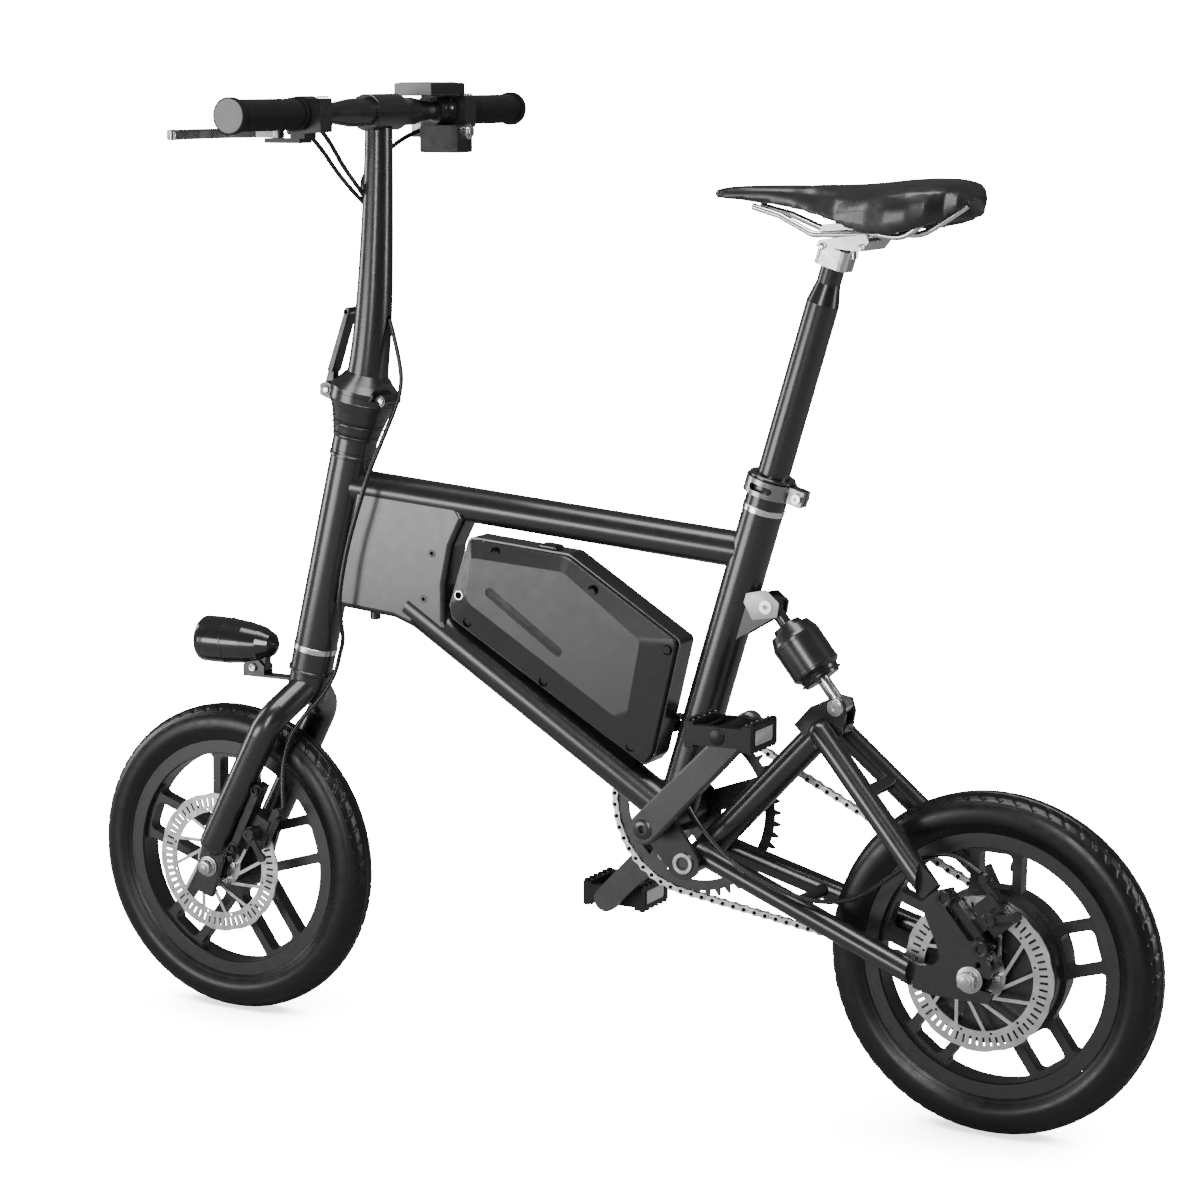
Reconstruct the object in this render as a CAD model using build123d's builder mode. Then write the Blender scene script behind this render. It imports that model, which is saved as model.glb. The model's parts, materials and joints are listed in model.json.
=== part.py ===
from build123d import *
import os
from math import atan2, cos, degrees, hypot, pi, radians, sin, sqrt, tan

# Electric folding bicycle with a sprung rear arm.
# +X points to the rear of the bicycle, -Y to the rider's left, +Z up.
# The origin is on the ground, midway between the two axles.  Millimetres.

# --- wheels -----------------------------------------------------------------
wheelbase = 926.0
tyre_radius = 177.0
tyre_width = 45.0
tyre_wall = 3.6
rim_radius = 137.0
rim_inner_radius = 121.5
rim_width = 30.0
rim_wall = 2.5
spoke_pairs = 5
spoke_start_angle = 17.0
spoke_width = 10.0
spoke_pair_gap = 35.0
spoke_thickness = 17.0
window_outer_radius = 116.0
front_hub_radius = 17.0
front_hub_width = 84.0
front_axle_radius = 5.0
rear_axle_radius = 7.0
motor_radius = 76.0
motor_width = 66.0
rotor_radius = 80.0
rotor_thickness = 2.0
front_rotor_side = 36.0
rear_rotor_side = 45.0
running_clearance = 0.05

# --- steering and frame -----------------------------------------------------
head_angle = 13.37
head_foot_x = -359.5
head_foot_z = 396.1
head_tube_length = 259.0
head_tube_radius = 24.0
head_tube_bore = 18.0
head_tube_start = 6.0
steerer_radius = 14.3
bearing_radius = 22.0
bearing_height = 10.0
part_gap = 0.6
seat_angle = 16.7
seat_tube_radius = 21.5
seat_tube_length = 383.0
seat_post_radius = 17.0
seat_post_neck_radius = 12.5
slide_clearance = 0.06
bracket_x = 100.3
bracket_z = 289.0
shell_radius = 21.0
shell_width = 68.0
spindle_radius = 8.5
top_tube_radius = 19.0
down_tube_radius = 20.0
tube_wall = 2.2
gusset_half_width = 18.5

# --- rear arm and damper ----------------------------------------------------
pivot_x = 132.3
pivot_z = 250.0
pivot_bolt_radius = 6.0
pivot_plate_side = 45.0
pivot_plate_thickness = 6.0
pivot_plate_radius = 18.0
arm_tube_radius = 15.5
stay_radius = 12.0
dropout_side = 62.0
dropout_thickness = 6.0
damper_top_x = 211.4
damper_top_z = 523.1
damper_length = 125.4
damper_angle = -51.44
damper_bolt_radius = 4.0
damper_body_radius = 26.5
damper_body_length = 62.0
damper_rod_radius = 7.0
open_pivot_clearance = 0.6

# --- drive ------------------------------------------------------------------
chain_pitch = 12.7
chainring_teeth = 48
sprocket_teeth = 19
chain_line = 48.5
ring_thickness = 2.6
crank_length = 170.0
crank_inner_side = 61.5
crank_thickness = 14.0
crank_width = 31.0
crank_angle = 46.0
pedal_length = 74.0
pedal_width = 62.0
pedal_height = 26.0
pedal_spindle_radius = 4.5

# --- post and bar -----------------------------------------------------------
base_top = 331.0
hinge_back = 31.0
hinge_pin_radius = 3.0
bar_x = -258.2
bar_z = 1020.5
bar_half_width = 282.0
bar_radius = 11.1
bar_centre_radius = 15.0
grip_radius = 16.0
grip_length = 120.0
perch_side = 134.0
perch_width = 22.0
lever_range = 18.0
cable_radius = 2.5

# --- battery ----------------------------------------------------------------
battery_half_width = 15.5
battery_wall = 2.5
cover_thickness = 5.0
plateau_height = 9.0
cell_radius = 9.1
cell_length = 65.0
cover_lip = 2.5

front_axle = Vector(-wheelbase / 2, 0, tyre_radius)
rear_axle = Vector(wheelbase / 2, 0, tyre_radius)
bracket = Vector(bracket_x, 0, bracket_z)
pivot = Vector(pivot_x, 0, pivot_z)
damper_top = Vector(damper_top_x, 0, damper_top_z)
damper_way = Vector(cos(radians(damper_angle)), 0, sin(radians(damper_angle)))
damper_foot = damper_top + damper_way * damper_length
head_sin = sin(radians(head_angle))
head_cos = cos(radians(head_angle))
seat_sin = sin(radians(seat_angle))
seat_cos = cos(radians(seat_angle))
pieces = {}


def on_head(height, back=0.0, side=0.0):
    """Point at a height along the steering axis, moved back and to the side."""
    x = head_foot_x + height * head_sin + back * head_cos
    z = head_foot_z + height * head_cos - back * head_sin
    return Vector(x, side, z)


def head_plane(height):
    """Plane square to the steering axis; its x points back, its y to the right."""
    return Plane(origin=on_head(height), x_dir=(head_cos, 0, -head_sin), z_dir=(head_sin, 0, head_cos))


def on_seat(height, back=0.0, side=0.0):
    """Point at a height along the seat axis, measured from the crank axle."""
    x = bracket_x + height * seat_sin + back * seat_cos
    z = bracket_z + height * seat_cos - back * seat_sin
    return Vector(x, side, z)


def seat_plane(height):
    """Plane square to the seat axis; its x points back, its y to the right."""
    return Plane(origin=on_seat(height), x_dir=(seat_cos, 0, -seat_sin), z_dir=(seat_sin, 0, seat_cos))


def side_plane(side):
    """Vertical lengthwise plane at a distance to the side, facing the rider's left."""
    return Plane(origin=(0, side, 0), x_dir=(1, 0, 0), z_dir=(0, -1, 0))


def disc_plane(centre, side):
    """Lengthwise plane centred on an axle at a distance to the side, facing left."""
    return Plane(origin=(centre.X, side, centre.Z), x_dir=(1, 0, 0), z_dir=(0, -1, 0))


def section_plane(centre):
    """Plane through a wheel's axis; its x runs along the axis, its y outwards."""
    return Plane(origin=centre, x_dir=(0, 1, 0), z_dir=(1, 0, 0))


def add_bar(start, end, radius, bore=0.0, mode=Mode.ADD):
    """Round bar or tube between two points."""
    run = Vector(end) - Vector(start)
    with BuildSketch(Plane(origin=start, z_dir=run)) as profile:
        Circle(radius)
        if bore:
            Circle(bore, mode=Mode.SUBTRACT)
    extrude(profile.sketch, amount=run.length, dir=run, mode=mode)


def add_disc(centre, side_low, side_high, radius, bore=0.0, mode=Mode.ADD):
    """Round disc or ring across the bicycle, between two distances to the side."""
    start = Vector(centre.X, side_low, centre.Z)
    end = Vector(centre.X, side_high, centre.Z)
    add_bar(start, end, radius, bore, mode)


def add_plate(points, side_low, side_high, corner=0.0, mode=Mode.ADD):
    """Plate with a lengthwise outline between two distances to the side."""
    with BuildSketch(side_plane(side_high)) as outline:
        Polygon(*points, align=None)
        if corner:
            fillet(outline.vertices(), corner)
    extrude(outline.sketch, amount=side_high - side_low, dir=(0, -1, 0), mode=mode)


def add_link(start, end, start_radius, end_radius, side_low, side_high, mode=Mode.ADD):
    """Flat link with round ends of two sizes, between two distances to the side."""
    run = Vector(end) - Vector(start)
    lean = degrees(atan2(run.Z, run.X))
    with BuildSketch(side_plane(side_high)) as outline:
        with Locations((start.X, start.Z)):
            Circle(start_radius)
        with Locations((end.X, end.Z)):
            Circle(end_radius)
        with Locations(Location((start.X, start.Z, 0), (0, 0, lean))):
            Polygon(
                (0, -start_radius),
                (run.length, -end_radius),
                (run.length, end_radius),
                (0, start_radius),
                align=None,
            )
    extrude(outline.sketch, amount=side_high - side_low, dir=(0, -1, 0), mode=mode)


def add_turned(plane, points, mode=Mode.ADD):
    """Solid turned about a plane's normal; each point is (radius, height)."""
    profile_plane = Plane(origin=plane.origin, x_dir=plane.x_dir, z_dir=-plane.y_dir)
    with BuildSketch(profile_plane) as profile:
        Polygon(*points, align=None)
    revolve(profile.sketch, axis=Axis(plane.origin, plane.z_dir), mode=mode)


def corner_radii(points):
    """Arc radius at each inner corner of a cable route."""
    places = [Vector(point) for point in points]
    radii = []
    for before, here, after in zip(places, places[1:], places[2:]):
        turn = radians((here - before).get_angle(after - here))
        short_run = min((here - before).length, (after - here).length)
        radii.append(0.45 * short_run / tan(turn / 2))
    return radii


def add_cable(name, points, radius):
    """Round cable along straight runs joined by tangent arcs."""
    radii = corner_radii(points)
    print(name, "radii", [round(r, 1) for r in radii])
    with BuildLine() as route:
        FilletPolyline(*points, radius=radii)
    with BuildSketch(Plane(origin=points[0], z_dir=Vector(points[1]) - Vector(points[0]))) as section:
        Circle(radius)
    sweep(section.sketch, path=route.wires()[0])


# --- wheels -----------------------------------------------------------------
def add_tyre(centre):
    """Open horseshoe tyre whose beads sit inside the rim's flanges."""
    half = tyre_width / 2
    bead = rim_width / 2 - rim_wall - 0.2
    middle = tyre_radius - 21
    lip = rim_radius + 1.5
    foot = rim_radius - 8.4
    inner_half = half - tyre_wall
    inner_bead = bead - tyre_wall
    with BuildSketch(section_plane(centre)) as section:
        with BuildLine():
            Line((bead, foot), (bead, lip))
            ThreePointArc((bead, lip), (half - 1.9, middle - 9.5), (half, middle))
            ThreePointArc((half, middle), (0, tyre_radius), (-half, middle))
            ThreePointArc((-half, middle), (-half + 1.9, middle - 9.5), (-bead, lip))
            Line((-bead, lip), (-bead, foot))
            Line((-bead, foot), (bead, foot))
        make_face()
        with BuildLine():
            Line((inner_bead, foot - 2), (inner_bead, lip + 1))
            ThreePointArc((inner_bead, lip + 1), (inner_half - 1.9, middle - 9), (inner_half, middle))
            ThreePointArc((inner_half, middle), (0, tyre_radius - tyre_wall - 1), (-inner_half, middle))
            ThreePointArc((-inner_half, middle), (-inner_half + 1.9, middle - 9), (-inner_bead, lip + 1))
            Line((-inner_bead, lip + 1), (-inner_bead, foot - 2))
            Line((-inner_bead, foot - 2), (inner_bead, foot - 2))
        make_face(mode=Mode.SUBTRACT)
    revolve(section.sketch, axis=Axis(centre, (0, 1, 0)))


def add_rim(centre, hub_radius, hub_bore, window_inner_radius):
    """Cast rim with five pairs of parallel spokes joined to a hub ring."""
    half = rim_width / 2
    floor = rim_inner_radius + 3
    with BuildSketch(section_plane(centre)) as section:
        Polygon(
            (-half, rim_inner_radius + 1),
            (-half + 2, rim_inner_radius),
            (half - 2, rim_inner_radius),
            (half, rim_inner_radius + 1),
            (half, rim_radius),
            (half - rim_wall, rim_radius),
            (half - rim_wall, floor + 3),
            (half / 2, floor),
            (-half / 2, floor),
            (-half + rim_wall, floor + 3),
            (-half + rim_wall, rim_radius),
            (-half, rim_radius),
            align=None,
        )
    revolve(section.sketch, axis=Axis(centre, (0, 1, 0)))
    spoke_step = 360 / spoke_pairs
    edge = spoke_pair_gap / 2 + spoke_width
    apex = edge / sin(radians(spoke_step / 2))
    reach = rim_radius
    side_x = reach * cos(radians(spoke_step / 2))
    side_y = reach * sin(radians(spoke_step / 2))
    with BuildSketch() as wide_window:
        Polygon((apex, 0), (apex + side_x, side_y), (apex + side_x, -side_y), align=None)
        Circle(rim_inner_radius, mode=Mode.INTERSECT)
        Circle(hub_radius, mode=Mode.SUBTRACT)
        fillet(wide_window.vertices(), 5.5)
    with BuildSketch() as narrow_window:
        with Locations(((window_inner_radius + window_outer_radius) / 2, 0)):
            RectangleRounded(window_outer_radius - window_inner_radius, spoke_pair_gap, 6)
    with BuildSketch(disc_plane(centre, 0)) as web:
        Circle(rim_inner_radius + 1)
        with PolarLocations(0, spoke_pairs, start_angle=spoke_start_angle):
            add(narrow_window.sketch, mode=Mode.SUBTRACT)
        with PolarLocations(0, spoke_pairs, start_angle=spoke_start_angle + spoke_step / 2):
            add(wide_window.sketch, mode=Mode.SUBTRACT)
        Circle(hub_bore, mode=Mode.SUBTRACT)
    extrude(web.sketch, amount=spoke_thickness / 2, both=True)


def add_rotor(centre, side, bore):
    """Brake rotor with a scalloped rim, radial slots, straight arms and six bolts."""
    arm_count = 12
    with BuildSketch(disc_plane(centre, -side + rotor_thickness / 2)) as disc:
        Circle(rotor_radius)
        with PolarLocations(rotor_radius + 58.8, arm_count, start_angle=15):
            Circle(60, mode=Mode.SUBTRACT)
        Circle(58.5, mode=Mode.SUBTRACT)
        with PolarLocations(0, arm_count):
            with Locations(Location((36.6, 18.5, 0), (0, 0, 60))):
                Rectangle(47, 3.6)
        Circle(29)
        Circle(bore, mode=Mode.SUBTRACT)
        with PolarLocations(69.5, 60):
            Rectangle(9, 2.4, mode=Mode.SUBTRACT)
        with PolarLocations(61.5, arm_count, start_angle=44):
            Circle(1.4, mode=Mode.SUBTRACT)
    extrude(disc.sketch, amount=rotor_thickness, dir=(0, -1, 0))
    with BuildSketch(disc_plane(centre, -side - rotor_thickness / 2)) as heads:
        with PolarLocations(22, 6):
            Circle(4)
            RegularPolygon(2, 6, mode=Mode.SUBTRACT)
    extrude(heads.sketch, amount=2.4, dir=(0, -1, 0))


front_hub_half = front_hub_width / 2
front_rotor_seat = front_rotor_side - rotor_thickness / 2
rear_rotor_seat = rear_rotor_side - rotor_thickness / 2

with BuildPart() as front_tyre:
    add_tyre(front_axle)
pieces["front_tyre"] = front_tyre

with BuildPart() as front_rim:
    add_rim(front_axle, 36, front_hub_radius - 4, 40)
    add_disc(front_axle, -front_hub_half, front_hub_half, front_hub_radius)
    add_disc(front_axle, -front_rotor_seat, 0, 27)
    add_disc(front_axle, -front_hub_half, front_hub_half, front_axle_radius + running_clearance, mode=Mode.SUBTRACT)
pieces["front_rim"] = front_rim

with BuildPart() as front_rotor:
    add_rotor(front_axle, front_rotor_side, front_hub_radius + running_clearance)
pieces["front_rotor"] = front_rotor

with BuildPart() as rear_tyre:
    add_tyre(rear_axle)
pieces["rear_tyre"] = rear_tyre

with BuildPart() as rear_rim:
    add_rim(rear_axle, motor_radius + 4, motor_radius + running_clearance, motor_radius + 4)
pieces["rear_rim"] = rear_rim

boss_radius = 17.0
motor_half = motor_width / 2
motor_wall = 4.0
with BuildPart() as motor_shell:
    bore = rear_axle_radius + running_clearance
    cavity = motor_radius - motor_wall
    add_disc(rear_axle, -motor_half, motor_half, motor_radius)
    chamfer(motor_shell.edges().filter_by(GeomType.CIRCLE), 6)
    add_disc(rear_axle, -rear_rotor_seat, -motor_half, 27)
    add_disc(rear_axle, -rear_rotor_side - 5, -motor_half, boss_radius)
    add_disc(rear_axle, motor_half, chain_line - 4, 27)
    add_disc(rear_axle, motor_half, chain_line + 3, boss_radius)
    add_disc(rear_axle, -motor_half + motor_wall, motor_half - motor_wall, cavity - 4, mode=Mode.SUBTRACT)
    add_disc(rear_axle, -motor_width, motor_width, bore, mode=Mode.SUBTRACT)
pieces["motor_shell"] = motor_shell

with BuildPart() as motor_stator:
    stator_half = motor_half - motor_wall - 4
    add_disc(rear_axle, -stator_half, stator_half, 58, rear_axle_radius)
    with BuildSketch(disc_plane(rear_axle, stator_half - 3)) as slots:
        with PolarLocations(50, 18):
            Rectangle(18, 8)
    extrude(slots.sketch, amount=2 * stator_half - 6, dir=(0, -1, 0), mode=Mode.SUBTRACT)
pieces["motor_stator"] = motor_stator

with BuildPart() as rear_rotor:
    add_rotor(rear_axle, rear_rotor_side, boss_radius + running_clearance)
pieces["rear_rotor"] = rear_rotor


def add_axle(centre, radius, half_length, nut_side, nut_radius, nut_height):
    """Threaded axle with a washer and a nut outside each dropout."""
    add_disc(centre, -half_length, half_length, radius)
    for sign in (-1, 1):
        washer = sorted((sign * nut_side, sign * (nut_side + 1.5)))
        add_disc(centre, washer[0], washer[1], nut_radius + 2.5)
        nut = sorted((sign * (nut_side + 1.5), sign * (nut_side + 1.5 + nut_height)))
        with BuildSketch(disc_plane(centre, nut[1])) as hexagon:
            RegularPolygon(nut_radius, 6)
        extrude(hexagon.sketch, amount=nut_height, dir=(0, -1, 0))


front_dropout_side = 50.0
front_dropout_thickness = 7.0
with BuildPart() as front_axle_part:
    add_axle(front_axle, front_axle_radius, 66, front_dropout_side + front_dropout_thickness, 8.5, 6)
pieces["front_axle"] = front_axle_part

with BuildPart() as rear_axle_part:
    add_axle(rear_axle, rear_axle_radius, 79, dropout_side + dropout_thickness, 10.5, 7.5)
pieces["rear_axle"] = rear_axle_part

# --- frame ------------------------------------------------------------------
head_top = head_tube_start + head_tube_length
with BuildPart() as head_tube:
    add_bar(on_head(head_tube_start), on_head(head_top), head_tube_radius, head_tube_bore)
    for low in (head_tube_start, head_top - bearing_height):
        add_bar(on_head(low), on_head(low + bearing_height), bearing_radius, mode=Mode.SUBTRACT)
pieces["head_tube"] = head_tube

with BuildPart() as headset_bearings:
    for low in (head_tube_start, head_top - bearing_height):
        add_bar(
            on_head(low),
            on_head(low + bearing_height),
            bearing_radius - running_clearance,
            steerer_radius + running_clearance,
        )
pieces["headset_bearings"] = headset_bearings

with BuildPart() as bottom_bracket_shell:
    half = shell_width / 2
    add_disc(bracket, -half, half, shell_radius, spindle_radius + running_clearance)
pieces["bottom_bracket_shell"] = bottom_bracket_shell

with BuildPart() as seat_tube:
    add_bar(on_seat(4), on_seat(seat_tube_length), seat_tube_radius, seat_post_radius + slide_clearance)
    with BuildSketch(seat_plane(seat_tube_length - 26)) as slit:
        with Locations((seat_tube_radius - 3, 0)):
            Rectangle(12, 2.4)
    extrude(slit.sketch, amount=30, dir=(seat_sin, 0, seat_cos), mode=Mode.SUBTRACT)
    add_disc(bracket, -shell_width, shell_width, shell_radius, mode=Mode.SUBTRACT)
pieces["seat_tube"] = seat_tube

top_tube_front = Vector(-318, 0, 616.5)
top_tube_rear = Vector(196, 0, 576.0)
with BuildPart() as top_tube:
    add_bar(top_tube_front, top_tube_rear, top_tube_radius, top_tube_radius - tube_wall)
    add_bar(on_head(0), on_head(300), head_tube_radius, mode=Mode.SUBTRACT)
    add_bar(on_seat(200), on_seat(seat_tube_length), seat_tube_radius, mode=Mode.SUBTRACT)
top_tube.part = top_tube.part.solids().sort_by(SortBy.VOLUME)[-1]
pieces["top_tube"] = top_tube

down_tube_top = Vector(-222, 0, 489.3)
with BuildPart() as down_tube:
    add_bar(down_tube_top, bracket, down_tube_radius, down_tube_radius - tube_wall)
    add_disc(bracket, -shell_width, shell_width, shell_radius, mode=Mode.SUBTRACT)
    add_bar(on_seat(0), on_seat(200), seat_tube_radius, mode=Mode.SUBTRACT)
down_tube.part = down_tube.part.solids().sort_by(SortBy.VOLUME)[-1]
pieces["down_tube"] = down_tube

gusset_outline = [
    (-286, 613.9),
    (-156, 603.7),
    (-147, 590),
    (-163, 558),
    (-172, 515),
    (-172, 476),
    (-163.5, 453),
    (-205, 478.7),
    (-214, 466),
    (-238, 474.5),
    (-316, 482),
]
carrier_holes = [(-187.2, 549.8), (-198.2, 498.8)]
with BuildPart() as head_gusset:
    add_plate(gusset_outline, -gusset_half_width, gusset_half_width, corner=3)
    side_faces = head_gusset.faces().sort_by(Axis.Y)
    side_edges = side_faces[0].edges() + side_faces[-1].edges()
    rear_edges = [edge for edge in side_edges if edge.center().X > -176 and 470 < edge.center().Z < 596]
    fillet(rear_edges, 6.5)
    inner_outline = [(-274, 606), (-174, 597), (-186, 520), (-190, 480), (-302, 491)]
    add_plate(inner_outline, -gusset_half_width + 3, gusset_half_width - 3, mode=Mode.SUBTRACT)
    add_bar(on_head(0), on_head(300), head_tube_radius, mode=Mode.SUBTRACT)
    add_bar(top_tube_front, top_tube_rear, top_tube_radius, mode=Mode.SUBTRACT)
    add_bar(down_tube_top, bracket, down_tube_radius, mode=Mode.SUBTRACT)
    for boss in carrier_holes:
        add_disc(Vector(boss[0], 0, boss[1]), -gusset_half_width, -gusset_half_width + 8, 5)
        add_disc(Vector(boss[0], 0, boss[1]), -gusset_half_width - 1, -gusset_half_width + 9, 2, mode=Mode.SUBTRACT)
    add_bar((-272, 0, 500), (-272, 0, 468), 6, 4)
    add_bar((-272, 0, 500), (-272, 0, 468), 4, mode=Mode.SUBTRACT)
head_gusset.part = head_gusset.part.solids().sort_by(SortBy.VOLUME)[-1]
pieces["head_gusset"] = head_gusset

eye_half = 9.0
tab_gap = 1.0
tab_thickness = 4.0
tab_low = eye_half + tab_gap
with BuildPart() as frame_brackets:
    plate_low = pivot_plate_side - pivot_plate_thickness
    for sign in (-1, 1):
        sides = sorted((sign * plate_low, sign * pivot_plate_side))
        add_link(bracket, pivot, 20, pivot_plate_radius, sides[0], sides[1])
        add_disc(bracket, sides[0], sides[1], spindle_radius + 4, mode=Mode.SUBTRACT)
        add_disc(pivot, sides[0], sides[1], pivot_bolt_radius, mode=Mode.SUBTRACT)
        spacer = sorted((sign * shell_width / 2, sign * plate_low))
        add_disc(bracket, spacer[0], spacer[1], 19, 14)
        tabs = sorted((sign * tab_low, sign * (tab_low + tab_thickness)))
        add_plate(
            [(177, 530), (211, 537), (224, 527), (222, 514), (163, 478), (160, 486)],
            tabs[0],
            tabs[1],
            corner=3,
        )
        add_disc(damper_top, tabs[0], tabs[1], damper_bolt_radius, mode=Mode.SUBTRACT)
    add_plate([(-125, 456.6), (-75, 427.3), (-82, 408), (-132, 440)], -12, 12)
    add_plate([(25, 368.7), (60, 348.2), (52, 328), (17, 350)], -12, 12)
    add_bar(on_seat(21), on_seat(seat_tube_length), seat_tube_radius, mode=Mode.SUBTRACT)
    add_bar(down_tube_top, bracket, down_tube_radius, mode=Mode.SUBTRACT)
pieces["frame_brackets"] = frame_brackets

clamp_low = 364.0
clamp_height = 17.0
clamp_outer = seat_tube_radius + 5.0
with BuildPart() as seat_clamp:
    add_bar(on_seat(clamp_low), on_seat(clamp_low + clamp_height), clamp_outer)
    with BuildSketch(seat_plane(clamp_low)) as ears:
        with Locations((clamp_outer + 5, 0)):
            Rectangle(20, 17)
    extrude(ears.sketch, amount=clamp_height, dir=(seat_sin, 0, seat_cos))
    with BuildSketch(seat_plane(clamp_low)) as gap:
        Circle(seat_tube_radius + 0.02)
        with Locations((clamp_outer + 5, 0)):
            Rectangle(22, 2.4)
    extrude(gap.sketch, amount=clamp_height, dir=(seat_sin, 0, seat_cos), mode=Mode.SUBTRACT)
    bolt_middle = on_seat(clamp_low + clamp_height / 2, clamp_outer + 9)
    add_disc(bolt_middle, -20, 20, 3, mode=Mode.SUBTRACT)
    window_middle = on_seat(clamp_low + clamp_height / 2)
    with BuildSketch(Plane(origin=window_middle, x_dir=(seat_cos, 0, -seat_sin), z_dir=(0, -1, 0))) as window:
        SlotOverall(26, 7)
    extrude(window.sketch, amount=60, dir=(0, -1, 0), mode=Mode.SUBTRACT)
pieces["seat_clamp"] = seat_clamp

# --- battery ----------------------------------------------------------------
battery_outline = [
    (-141.8, 571.3),
    (-19.3, 561.3),
    (114.2, 479.3),
    (84.2, 353.3),
    (72.7, 341.3),
    (-163.8, 479.8),
    (-167.3, 494.3),
]
plateau_outline = [
    (-132.0, 550.6),
    (-19.2, 543.6),
    (72.7, 478.5),
    (57.2, 398.5),
    (43.6, 393.7),
    (-134.6, 500.8),
    (-138.4, 507.2),
]
screw_places = [(-104.3, 557.8), (14.7, 526.3), (100.7, 469.6), (57.8, 362.3), (-47.4, 422.4), (-140.6, 478.8)]
port_x, port_z = -148.6, 508.2
battery_run = Vector(battery_outline[4][0] - battery_outline[5][0], 0, battery_outline[4][1] - battery_outline[5][1])
battery_lean = degrees(atan2(battery_run.Z, battery_run.X))

with BuildPart() as battery_case:
    add_plate(battery_outline, -battery_half_width, battery_half_width, corner=7)
    with BuildSketch(side_plane(battery_half_width + 1)) as hollow:
        Polygon(*battery_outline, align=None)
        offset(amount=-battery_wall, kind=Kind.INTERSECTION)
        fillet(hollow.vertices(), 5)
    extrude(hollow.sketch, amount=2 * battery_half_width + 2, dir=(0, -1, 0), mode=Mode.SUBTRACT)
pieces["battery_case"] = battery_case


def offset_outline(points, amount, corner=0.0):
    """Closed outline moved outwards by an amount, drawn in the X-Z plane."""
    with BuildSketch() as outline:
        Polygon(*points, align=None)
        if amount:
            offset(amount=amount, kind=Kind.INTERSECTION)
        if corner:
            fillet(outline.vertices(), corner)
    return outline.sketch


def covers_side(sign):
    """One battery cover: a flat border that rises by a slope to a raised field."""
    outer = battery_half_width + cover_thickness
    flat = sorted((sign * (battery_half_width + 0.05), sign * outer))
    slab_outline = offset_outline(battery_outline, -cover_lip, 6)
    slab = extrude(Plane(origin=(0, flat[1], 0), x_dir=(1, 0, 0), z_dir=(0, -1, 0)) * slab_outline, amount=flat[1] - flat[0])
    low = Plane(origin=(0, sign * (outer - 0.4), 0), x_dir=(1, 0, 0), z_dir=(0, -1, 0))
    high = Plane(origin=(0, sign * (outer + plateau_height), 0), x_dir=(1, 0, 0), z_dir=(0, -1, 0))
    foot = offset_outline(plateau_outline, 13.0)
    rise = loft([low * foot, high * offset_outline(plateau_outline, 0.0)], ruled=True)
    pocket_high = sign * (outer + plateau_height - 3)
    pocket_low = sign * (battery_half_width - 1)
    pocket_sides = sorted((pocket_low, pocket_high))
    pocket = extrude(
        Plane(origin=(0, pocket_sides[1], 0), x_dir=(1, 0, 0), z_dir=(0, -1, 0))
        * offset_outline(plateau_outline, -1.5, 4),
        amount=pocket_sides[1] - pocket_sides[0],
    )
    return (slab + rise) - pocket


plain_covers = [covers_side(-1), covers_side(1)]
with BuildPart() as battery_covers:
    for sign, cover in zip((-1, 1), plain_covers):
        add(cover)
        outer = battery_half_width + cover_thickness
        for x, z in screw_places:
            hole = sorted((sign * (outer - 3), sign * (outer + 1)))
            add_disc(Vector(x, 0, z), hole[0], hole[1], 4.2, mode=Mode.SUBTRACT)
            recess = sorted((sign * outer, sign * (outer + plateau_height + 1)))
            add_disc(Vector(x, 0, z), recess[0], recess[1], 6.5, mode=Mode.SUBTRACT)
    add_disc(Vector(port_x, 0, port_z), -60, -battery_half_width - 2, 5, mode=Mode.SUBTRACT)
pieces["battery_covers"] = battery_covers

cell_pitch = 2 * cell_radius + 0.8


def inside(x, z, points):
    """Tell whether a point lies inside a closed outline."""
    crossings = 0
    for (x0, z0), (x1, z1) in zip(points, points[1:] + points[:1]):
        if (z0 > z) != (z1 > z) and x < x0 + (z - z0) * (x1 - x0) / (z1 - z0):
            crossings += 1
    return crossings % 2 == 1


cell_along = Vector(cos(radians(battery_lean)), 0, sin(radians(battery_lean)))
cell_up = Vector(-cell_along.Z, 0, cell_along.X)
cell_start = Vector(plateau_outline[5][0], 0, plateau_outline[5][1])
with BuildPart() as battery_cells:
    for row in range(6):
        for column in range(4):
            middle = cell_start + cell_along * (38 + column * (cell_length + 1.5)) + cell_up * (13 + row * cell_pitch)
            ends = [middle + cell_along * (way * (cell_length / 2 + 2)) for way in (-1, 1)]
            corners = [end + cell_up * (way * (cell_radius + 2)) for end in ends for way in (-1, 1)]
            if all(inside(corner.X, corner.Z, plateau_outline) for corner in corners):
                for side in (-cell_radius - 0.3, cell_radius + 0.3):
                    half = cell_along * (cell_length / 2)
                    add_bar(
                        tuple(middle - half + Vector(0, side, 0)),
                        tuple(middle + half + Vector(0, side, 0)),
                        cell_radius,
                    )
pieces["battery_cells"] = battery_cells

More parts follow.
